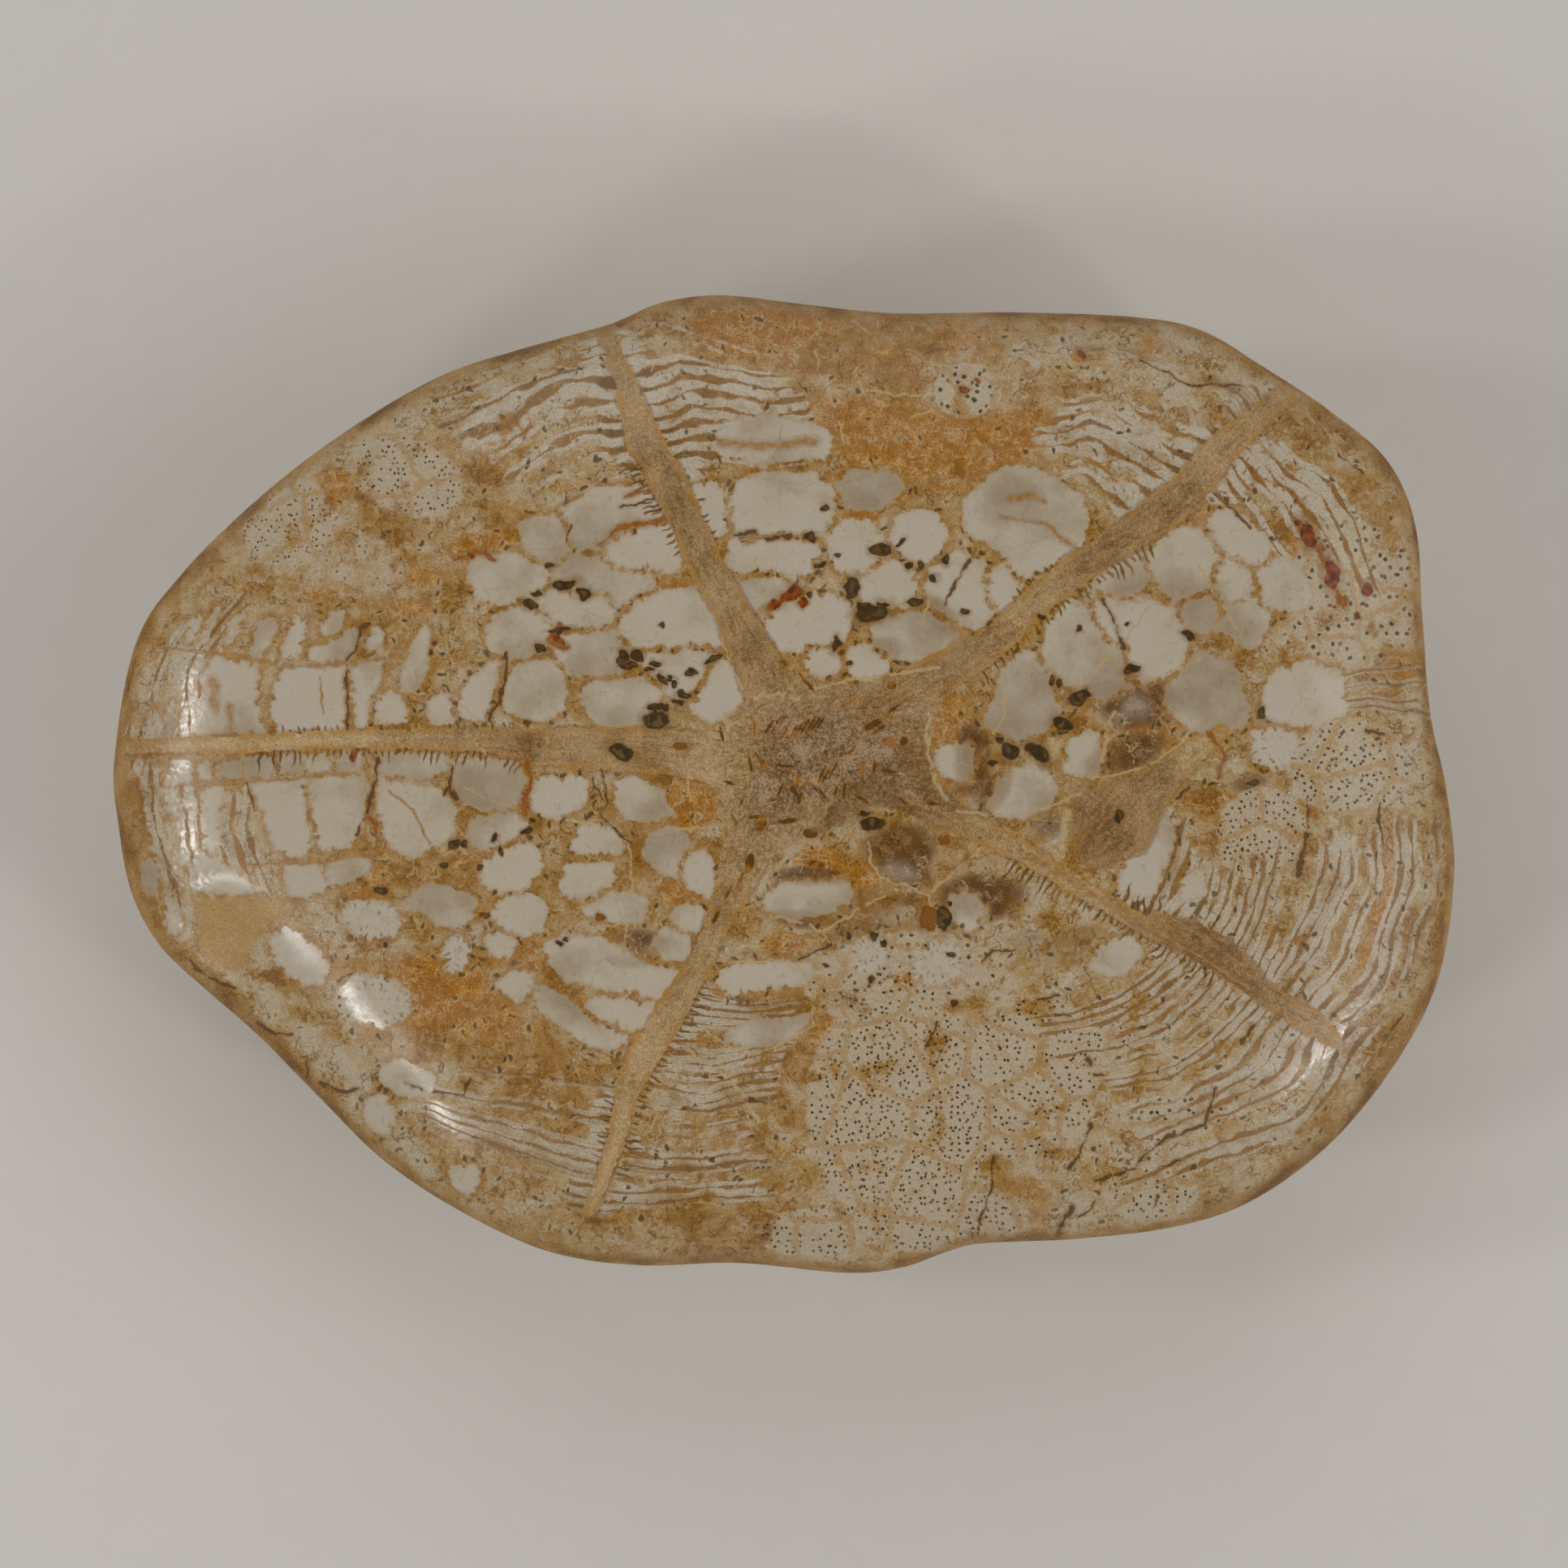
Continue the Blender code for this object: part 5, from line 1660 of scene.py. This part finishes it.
        dots = g.rise(oval, 1.2, 0.5) * g.rise(depth, -2.0, 1.0) * g.rise(depth, 26.0, 14.0) * dotted
        white = g.blend(dots * g.rise(chance, 0.15, 0.7) * 0.75, white, (104, 82, 50))
        self.edge = edge
        self.plate = g.rise(edge, -1.5, 2.0)
        self.lay(self.plate, white)

    def stripes(self) -> None:
        """Bands of white calcite with thin brown lamellae between them, which swell, thin out and end."""
        g, f = self.graph, self.finish
        phase, depth, plain = g.parts(g.attribute("stripe"))
        bent = phase + (self.broad - 0.5) * 0.9 + (self.cloud - 0.5) * 0.4 + (self.mid - 0.5) * 0.12
        index = g.math("FLOOR", bent)
        part = bent - index
        chance = g.dice(g.joined(index, 0.0))
        other = g.dice(g.joined(index, 7.0))
        lens = g.noise(g.vector("ADD", self.seen, g.joined(index * 431.0, 0.0)), 46.0, 1.0, room="2D")
        by_ray = g.rise(g.parts(g.attribute("ray"))[0], -40.0, -4.0)
        width = (lens - 0.25) * 0.55 + chance * 0.16 + plain * 0.12 - by_ray * 0.08
        offset = g.math("ABSOLUTE", part - 0.5)
        band = g.rise(offset - width * 0.5 + (self.grain - 0.5) * 0.06, -0.05, 0.1)
        line = g.blend(other * 0.7 + self.small * 0.3, f.stripe_line, f.stripe_tan)
        line = g.blend(g.rise(lens * 0.6 + by_ray * 0.5 + chance * 0.3, 0.7, 1.2) * 0.8, line, f.stripe_dark)
        line = g.blend(plain * 0.7, line, (126, 102, 72))
        tone = self.cloud * 0.35 + other * 0.3 + self.mid * 0.15 + self.small * 0.1 + 0.14 - plain * 0.45
        white = g.ramp(tone, ((0.0, (136, 111, 79)), (0.22, (150, 129, 99)), (0.5, f.plate_white),
                              (0.8, (171, 159, 143))))
        ends = other * 42.0 * (1.0 - by_ray) + (self.cloud - 0.5) * 16.0
        inside = g.rise(depth + self.jitter * 1.3 - ends, -6.0, 8.0) * (1.0 - self.plate)
        broken = g.rise(self.cloud * 0.5 + self.broad * 0.4 + self.small * 0.1, 0.12, 0.3)
        self.pale = inside * band * broken
        self.lay(self.pale * 0.95, white)
        self.lay(inside * (1.0 - band) * 0.92, line)
        fine = g.math("ABSOLUTE", g.math("FRACT", bent * 3.0) - 0.5)
        self.lay(g.rise(fine, 0.26, 0.08) * inside * plain * 0.4, (118, 94, 66))
        self.band = inside * (1.0 - band)
        self.zone = inside

    def pores(self) -> None:
        """Pale ground dotted with cut tubercles and pores, in plates with tan seams."""
        g, f = self.graph, self.finish
        _, share, size = g.parts(g.attribute("zone"))
        inside = g.rise(share + (self.mid - 0.5) * 0.3, 0.1, 0.5)
        free = (1.0 - self.plate * 0.8) * (1.0 - self.band) * inside
        self.lay(g.rise(self.cloud + self.mid * 0.3 + self.grain * 0.2, 0.2, 0.7) * free * 0.9, f.pore_ground)
        seam = g.rise(self.tile + (self.small - 0.5) * 0.06, 0.08, 0.02)
        self.lay(seam * free * 0.7, (154, 123, 78))
        self.porous = inside
        bent = g.vector("ADD", self.seen, g.scaled(self.sway, 3.5))
        where = g.vector("DIVIDE", bent, g.joined(size, size, 1.0))
        amount = g.line(share, 0.1, 1.0, 0.1, 0.95)
        fine = self.dots(8.0, 2.0, 1.7, 0.0, 3.0, amount, where=where)
        free = free * (1.0 - seam)
        dot = g.blend(g.rise(self.mid, 0.3, 0.8), (50, 35, 14), (106, 80, 46))
        self.lay(fine * free * 0.95, dot)

    def specks(self) -> None:
        """Small brown specks all over, larger and darker in places and fewer on the plates."""
        g = self.graph
        free = (1.0 - self.plate * 0.85) * (1.0 - self.porous * 0.75)
        beside = g.rise(self.edge, -20.0, -6.0) * (1.0 - self.plate) * g.rise(self.broad, 0.45, 0.7)
        inner = g.rise(g.parts(self.seen)[0], 340.0, 440.0)
        bold = g.math("MAXIMUM", g.rise(self.mid, 0.6, 0.9), beside * 0.9) * inner
        fine = self.dots(12.5, 4.6 + bold, 1.1 + bold * 1.7, 0.0, 3.0, 0.62, where=self.swayed)
        light = g.blend(g.rise(self.cloud, 0.4, 0.6), (104, 73, 36), (170, 150, 113))
        self.lay(fine * free * (0.6 + bold * 0.25), g.blend(bold, light, (68, 49, 16)))

    def net(self) -> None:
        """A net of hair-thin cream veins, strongest in the orange field, and faint straight ones in the plates."""
        g, f = self.graph, self.finish
        vein = g.rise(self.hairline + (self.grain - 0.5) * 0.03, 0.055, 0.015)
        shown = g.rise(self.mid * 0.6 + self.cloud * 0.4 + self.orange * 0.3, 0.5, 0.75) * (1.0 - self.plate * 0.9)
        self.lay(vein * shown * 0.8, f.cream)
        self.tile = g.add("TexVoronoi", {"Vector": self.swayed, "Scale": 1.0 / 74.0}, "Distance",
                          feature="DISTANCE_TO_EDGE", voronoi_dimensions="2D")
        line = g.rise(self.tile, 0.018, 0.004) * g.rise(self.mid, 0.25, 0.6)
        self.lay(line * self.plate * 0.5, g.blend(self.broad, (140, 118, 84), (180, 169, 152)))

    def sediment(self) -> None:
        """The food grooves and the middle: fine tan fill with golden margins, browner in the middle."""
        g, f = self.graph, self.finish
        inside, along, across = g.parts(g.attribute("ray"))
        depth, _, _ = g.parts(g.attribute("zone"))
        edge = inside + self.jitter * 0.5
        middle_edge = depth + self.jitter * 1.4
        lane = g.joined(along, across)
        streak = g.noise(g.vector("DIVIDE", lane, (34.0, 6.0, 1.0)), 1.0, 1.0, 0.6, room="2D")
        own = g.parts(g.attribute("rim"))[1]
        tone = own * 0.55 + streak * 0.12 + self.small * 0.1 + self.cloud * 0.18 + self.grain * 0.18 - 0.03
        fill = g.ramp(tone, ((0.2, (98, 70, 40)), (0.38, f.ray_dark), (0.58, f.ray_fill), (0.82, f.ray_light)))
        margin = g.rise(edge, 10.0, 3.0) * g.rise(self.mid + streak * 0.4, 0.35, 0.75) * g.rise(depth, -10.0, -50.0)
        margin = margin * g.rise(own, 0.25, 0.6)
        gold = g.math("MAXIMUM", margin * 0.8, g.rise(self.cloud * 0.6 + streak * 0.4, 0.5, 0.72) * 0.35)
        fill = g.blend(gold, fill, f.ray_gold)
        deep = g.rise(depth + (self.cloud - 0.5) * 60.0 + (self.mid - 0.5) * 20.0, -2.0, 66.0)
        core = g.rise(self.cloud * 0.35 + self.mid * 0.2 + self.small * 0.1 + self.grain * 0.35, 0.25, 0.75)
        core = g.blend(core, f.mouth_dark, f.mouth_light)
        fill = g.blend(deep, fill, core)
        turn = 1.0 + (self.broad - 0.5) * 3.0
        wet = g.rise(depth, -20.0, 20.0)
        needle = self.dots(14.0, 8.0, 1.2, turn, 0.5, 0.6, where=self.seen)
        fill = g.blend(needle * wet * 0.55, fill, g.blend(g.rise(self.mid, 0.5, 0.7), (88, 61, 28), (160, 140, 108)))
        outer = g.rise(edge, -5.0, -1.0) * g.rise(self.cloud, 0.3, 0.7)
        self.lay(outer * 0.5, (112, 78, 38))
        self.ray = g.math("MAXIMUM", g.rise(edge, -0.8, 1.4), g.rise(middle_edge, -6.0, 6.0))
        self.lay(self.ray, fill)

    def teeth(self) -> None:
        """Thin dark teeth that stand in the plates' edges beside the grooves."""
        g, f = self.graph, self.finish
        distance, along, strength = g.parts(g.attribute("tooth"))
        phase = along / 8.5 + (self.mid - 0.5) * 0.7 + distance * 0.025
        index = g.math("FLOOR", phase)
        chance = g.dice(g.joined(index, 3.0))
        other = g.dice(g.joined(index, 9.0))
        length = (5.0 + chance * chance * 24.0) * strength
        taper = g.rise(distance / length, 1.0, 0.2)
        offset = g.math("ABSOLUTE", phase - index - 0.5)
        tooth = g.rise(offset, 0.12 + taper * 0.16, 0.04 + taper * 0.08) * g.rise(distance, length, length * 0.6)
        tooth = tooth * g.rise(strength, 0.05, 0.4) * (1.0 - self.ray)
        tint = g.blend(g.rise(other, 0.3, 0.8), f.tooth, (130, 90, 38))
        self.lay(tooth * 0.85, tint)

    def seams(self) -> None:
        """Cream veins, tan and rust seams and dark cracks."""
        g, f = self.graph, self.finish
        vein = g.group(self.stretch, {"Place": self.swayed, "Start": g.attribute("vein_start"),
                                      "Stop": g.attribute("vein_stop")})
        shown = g.rise(vein, 1.3, 0.6) * g.rise(self.mid, 0.1, 0.4)
        self.lay(shown * 0.8, f.cream)
        stop = g.attribute("seam_stop")
        half_swayed = g.vector("ADD", self.seen, g.scaled(self.sway, 6.0))
        seam = g.group(self.stretch, {"Place": half_swayed, "Start": g.attribute("seam_start"), "Stop": stop})
        kind = g.parts(stop)[2]
        seam = seam + (self.mid - 0.5) * 1.3 + (self.grain - 0.5) * 0.5
        tint = g.blend(kind, f.crack, g.blend(self.small, f.rust, (138, 86, 26)))
        tint = g.blend(kind - 1.0, tint, g.blend(self.small, (142, 106, 60), (156, 124, 80)))
        halo = g.rise(seam, 3.0, 0.8) * 0.4
        self.lay(halo, (132, 96, 50))
        crack = g.rise(seam, 1.1, 0.45)
        self.crack = crack * g.rise(kind, 1.8, 1.2)
        self.lay(crack * 0.85, tint)

    def pits(self) -> None:
        """Dark holes and olive, amber and rusty fillings."""
        g, f = self.graph, self.finish
        spot = g.attribute("pit_spot")
        size = g.parts(g.attribute("pit_size"))
        kind = g.parts(spot)[2]
        needle = g.rise(kind, 3.4, 3.6)
        away = g.vector("SUBTRACT", g.vector("ADD", self.seen, g.scaled(self.sway, 10.0 - needle * 7.0)), spot)
        away = g.vector("MULTIPLY", away, (1.0, 1.0, 0.0))
        turned = g.add("VectorRotate", {"Vector": away, "Angle": 0.0 - size[2]}, rotation_type="Z_AXIS")
        reach = g.vector("LENGTH", g.vector("DIVIDE", turned, g.joined(size[0], size[1], 1.0)), out=1)
        reach = reach * (1.0 - needle * 0.25)
        core = g.rise(reach, 0.95, 0.5) * g.rise(self.small * 0.5 + self.mid * 0.5, 0.4, 0.65)
        middle = g.blend(core * 0.55, f.dark, (96, 74, 42))
        middle = g.blend(g.rise(kind, 0.4, 0.6), middle, g.blend(core * 0.6, f.olive, (104, 80, 30)))
        middle = g.blend(g.rise(kind, 1.4, 1.6), middle, g.blend(self.grain, f.amber, (104, 62, 14)))
        middle = g.blend(g.rise(kind, 2.4, 2.6), middle, g.blend(self.small, (84, 34, 4), (134, 66, 10)))
        middle = g.blend(needle, middle, g.blend(g.rise(self.mid, 0.3, 0.7), (86, 56, 18), (142, 92, 34)))
        ring = g.rise(reach + self.mid * 0.6, 2.5, 1.1) * (0.6 - needle * 0.45)
        self.lay(ring, (122, 90, 44))
        self.pit = g.rise(reach, 1.12, 0.88)
        self.lay(self.pit * 0.93, middle)
        self.pit = self.pit * (1.0 - needle)
        rim = g.rise(reach, 1.2, 1.0) * g.rise(reach, 0.7, 0.95) * g.rise(kind, 2.6, 2.4)
        self.lay(rim * 0.3, (60, 42, 14))

    def paint(self) -> tuple[Wire, Wire, Wire]:
        """Colour, roughness and height of the polished face, with painted shade in the tint of its rim's outer band.

        Returns:
            The three of them.
        """
        g = self.graph
        for layer in (self.ground, self.plates, self.stripes, self.net, self.pores, self.specks, self.sediment,
                      self.teeth, self.seams, self.pits):
            layer()
        chip = g.blend(self.mid * 0.5 + self.grain * 0.5, (151, 119, 71), (164, 134, 87))
        self.lay(self.chip, chip)
        share, _, _ = g.parts(g.attribute("rim"))
        # The rim's outer band is bare unpolished stone in its own tan. Its tint is also darker than that stone as
        # painted shade where the steep rim falls away.
        rim_band_and_shade = g.rise(share + (self.mid - 0.5) * 0.02, 0.955, 0.992)
        worn = g.rise(share, 0.84, 0.93)
        rim_stone_and_shade_tint = g.ramp(self.broad * 0.2 + self.cloud * 0.4 + self.mid * 0.15 + self.grain * 0.25,
                         ((0.3, (92, 60, 16)), (0.5, (130, 93, 32)), (0.7, (150, 114, 54))))
        self.lay(rim_band_and_shade * (0.85 - self.zone * 0.4), rim_stone_and_shade_tint)
        light = 1.0 + (self.grain - 0.5) * (0.34 - self.plate * 0.28)
        colour = g.add("HueSaturation", {"Value": light, "Saturation": 1.06 - self.cloud * 0.12,
                                         "Color": self.colour})
        white = g.math("MAXIMUM", self.plate, self.pale) * (1.0 - self.ray)
        rough = 0.33 - white * 0.17 + rim_band_and_shade * 0.25 + self.chip * 0.04 + self.pit * 0.1 + self.crack * 0.2
        rough = rough + (self.small - 0.5) * 0.06 + g.rise(self.mid, 0.4, 0.7) * 0.06
        bare = g.rise(share, 0.955, 0.992)
        height = (self.grain - 0.5) * (0.04 + bare * 0.8) + self.small * (bare + worn * 0.5)
        return colour, rough, height

    def paint_dome(self) -> tuple[Wire, Wire, Wire]:
        """Colour, roughness and height of the dome, with its five petals.

        Returns:
            The three of them.
        """
        g = self.graph
        _, offset, run = g.parts(g.attribute("petal"))
        mottle = self.broad * 0.3 + self.cloud * 0.35 + self.mid * 0.2 + self.small * 0.15
        self.colour = g.ramp(mottle, ((0.2, (112, 80, 42)), (0.42, (136, 104, 60)), (0.6, (150, 124, 84)),
                                      (0.8, (160, 143, 115))))
        tubercle = g.add("TexVoronoi", {"Vector": self.seen, "Scale": 1.0 / 11.0}, "Distance",
                         voronoi_dimensions="2D")
        dot = g.rise(tubercle, 0.3, 0.18)
        ring = g.rise(tubercle, 0.46, 0.32) * (1.0 - dot)
        self.lay(ring * 0.45, (96, 70, 36))
        self.lay(dot * 0.4, (166, 147, 115))
        phase = run / 12.0
        part = g.math("ABSOLUTE", phase - g.math("FLOOR", phase) - 0.5)
        far = g.math("ABSOLUTE", offset)
        slit = g.rise(part, 0.26, 0.12) * g.rise(far, 21.0, 17.0)
        pore = g.rise(part, 0.36, 0.2) * g.rise(far, 21.0, 17.0) * g.rise(far, 12.0, 16.0)
        self.lay(slit * 0.55, (92, 64, 32))
        self.lay(pore * 0.8, (58, 38, 16))
        light = g.line(self.grain, 0.0, 1.0, 0.9, 1.1)
        colour = g.add("HueSaturation", {"Value": light, "Color": self.colour})
        rough = 0.5 + (self.small - 0.5) * 0.14
        height = (self.grain - 0.5) * 0.5 + self.small * 0.7 - slit * 1.8 - pore * 1.6
        return colour, rough, height


@dataclass(frozen=True)
class StudioFloor:
    """Finish of the floor: smooth pale card with a faint grain."""

    tint: Tint = (233, 230, 224)
    roughness: float = 0.9

    def card(self) -> bpy.types.Material:
        """Makes the floor's material.

        Returns:
            The material.
        """
        material = bpy.data.materials.new("pale_card")
        material.use_nodes = True
        graph = Graph(material.node_tree)
        shader = material.node_tree.nodes["Principled BSDF"]
        where = graph.add("TexCoord", {}, "Object")
        grain = graph.noise(where, 0.004, 3.0)
        light = graph.line(grain, 0.0, 1.0, 0.985, 1.0)
        graph.feed(shader.inputs["Base Color"],
                   graph.add("HueSaturation", {"Value": light, "Color": linear(self.tint)}))
        shader.inputs["Roughness"].default_value = self.roughness
        shader.inputs["Specular IOR Level"].default_value = 0.2
        return material


@dataclass
class Studio:
    """The floor, the soft lights and the camera straight above the stone.

    Attributes:
        floor_reach: Half the floor's side, in metres.
        softboxes: Azimuth and height angle in degrees, distance and side in metres, and power in watts.
        aim: The place above the floor's middle that the softboxes are turned to.
        warm: Colour of the softboxes' light, and room that of the even light.
        sky: Strength of the even light from all around.
        sky_overhead: Its strength straight above, where the polish would mirror it to the camera.
    """

    floor_reach: float = 1.5
    softboxes: tuple[tuple[str, float, float, float, float, float], ...] = (
        ("left_softbox", 175.0, 38.0, 0.95, 0.11, 0.8),
        ("middle_left_softbox", 197.0, 38.0, 0.95, 0.12, 0.9),
        ("low_left_softbox", 221.0, 38.0, 0.95, 0.11, 0.8),
        ("right_softbox", -34.0, 38.0, 0.95, 0.07, 0.6),
        ("right_fill", -12.0, 34.0, 1.20, 1.00, 4.2),
        ("back_softbox", 95.0, 34.0, 1.40, 1.40, 4.8),
    )
    aim: tuple[float, float, float] = (0.0, 0.0, 0.03)
    warm: tuple[float, float, float] = (1.0, 0.98, 0.95)
    room: tuple[float, float, float] = (1.0, 0.99, 0.97)
    sky: float = 0.20
    sky_overhead: float = 0.09

    def floor(self) -> bpy.types.Object:
        """Makes the floor that the stone lies on.

        Returns:
            The floor's object.
        """
        shape = bmesh.new()
        bmesh.ops.create_grid(shape, x_segments=2, y_segments=2, size=self.floor_reach)
        mesh = bpy.data.meshes.new("studio_floor")
        shape.to_mesh(mesh)
        shape.free()
        mesh.materials.append(StudioFloor().card())
        floor = bpy.data.objects.new("studio_floor", mesh)
        bpy.context.scene.collection.objects.link(floor)
        return floor

    def lights(self) -> None:
        """Hangs the softboxes, each turned to the stone, and lights the room evenly."""
        for name, azimuth, rise, distance, side, power in self.softboxes:
            light = bpy.data.lights.new(name, "AREA")
            light.shape = "SQUARE"
            light.size = side
            light.energy = power
            light.color = self.warm
            turn, tilt = math.radians(azimuth), math.radians(rise)
            spot = Vector((math.cos(turn) * math.cos(tilt), math.sin(turn) * math.cos(tilt), math.sin(tilt)))
            spot = spot * distance
            box = bpy.data.objects.new(name, light)
            box.location = spot
            box.rotation_euler = (Vector(self.aim) - spot).to_track_quat("-Z", "Y").to_euler()
            bpy.context.scene.collection.objects.link(box)
        world = bpy.data.worlds.new("even_room")
        world.use_nodes = True
        graph = Graph(world.node_tree)
        background = world.node_tree.nodes["Background"]
        background.inputs["Color"].default_value = (*self.room, 1.0)
        up = graph.parts(graph.add("TexCoord", {}, "Generated"))[2]
        graph.feed(background.inputs["Strength"], graph.rise(up, 0.80, 0.96, self.sky, self.sky_overhead))
        bpy.context.scene.world = world

    def camera(self) -> bpy.types.Object:
        """Hangs the camera straight above the stone, as in the photograph.

        Returns:
            The camera's object.
        """
        lens = bpy.data.cameras.new("view_from_above")
        lens.lens = LENS_MM
        lens.sensor_width = SENSOR_MM
        lens.clip_start = 0.01
        eye = bpy.data.objects.new("view_from_above", lens)
        eye.location = (0.0, 0.0, GIRTH_HEIGHT + EYE_HEIGHT)
        bpy.context.scene.collection.objects.link(eye)
        bpy.context.scene.camera = eye
        return eye


def main() -> None:
    """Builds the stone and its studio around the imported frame."""
    logging.basicConfig(level=logging.INFO, format="%(message)s")
    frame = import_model()
    LOG.info("frame: %d entries", len(frame))
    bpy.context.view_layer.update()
    bpy.context.scene.view_settings.view_transform = "Standard"
    studio = Studio()
    studio.camera()
    studio.lights()
    studio.floor()
    LOG.info("studio: floor, lights and camera are in place")
    stone = Fossil().build()
    stone.data.materials.append(PolishedFossil().stone())
    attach(stone, "root")
    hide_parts("fossil_urchin")
    LOG.info("%s: %d triangles", stone.name, len(stone.data.polygons))


if __name__ == "__main__":
    main()
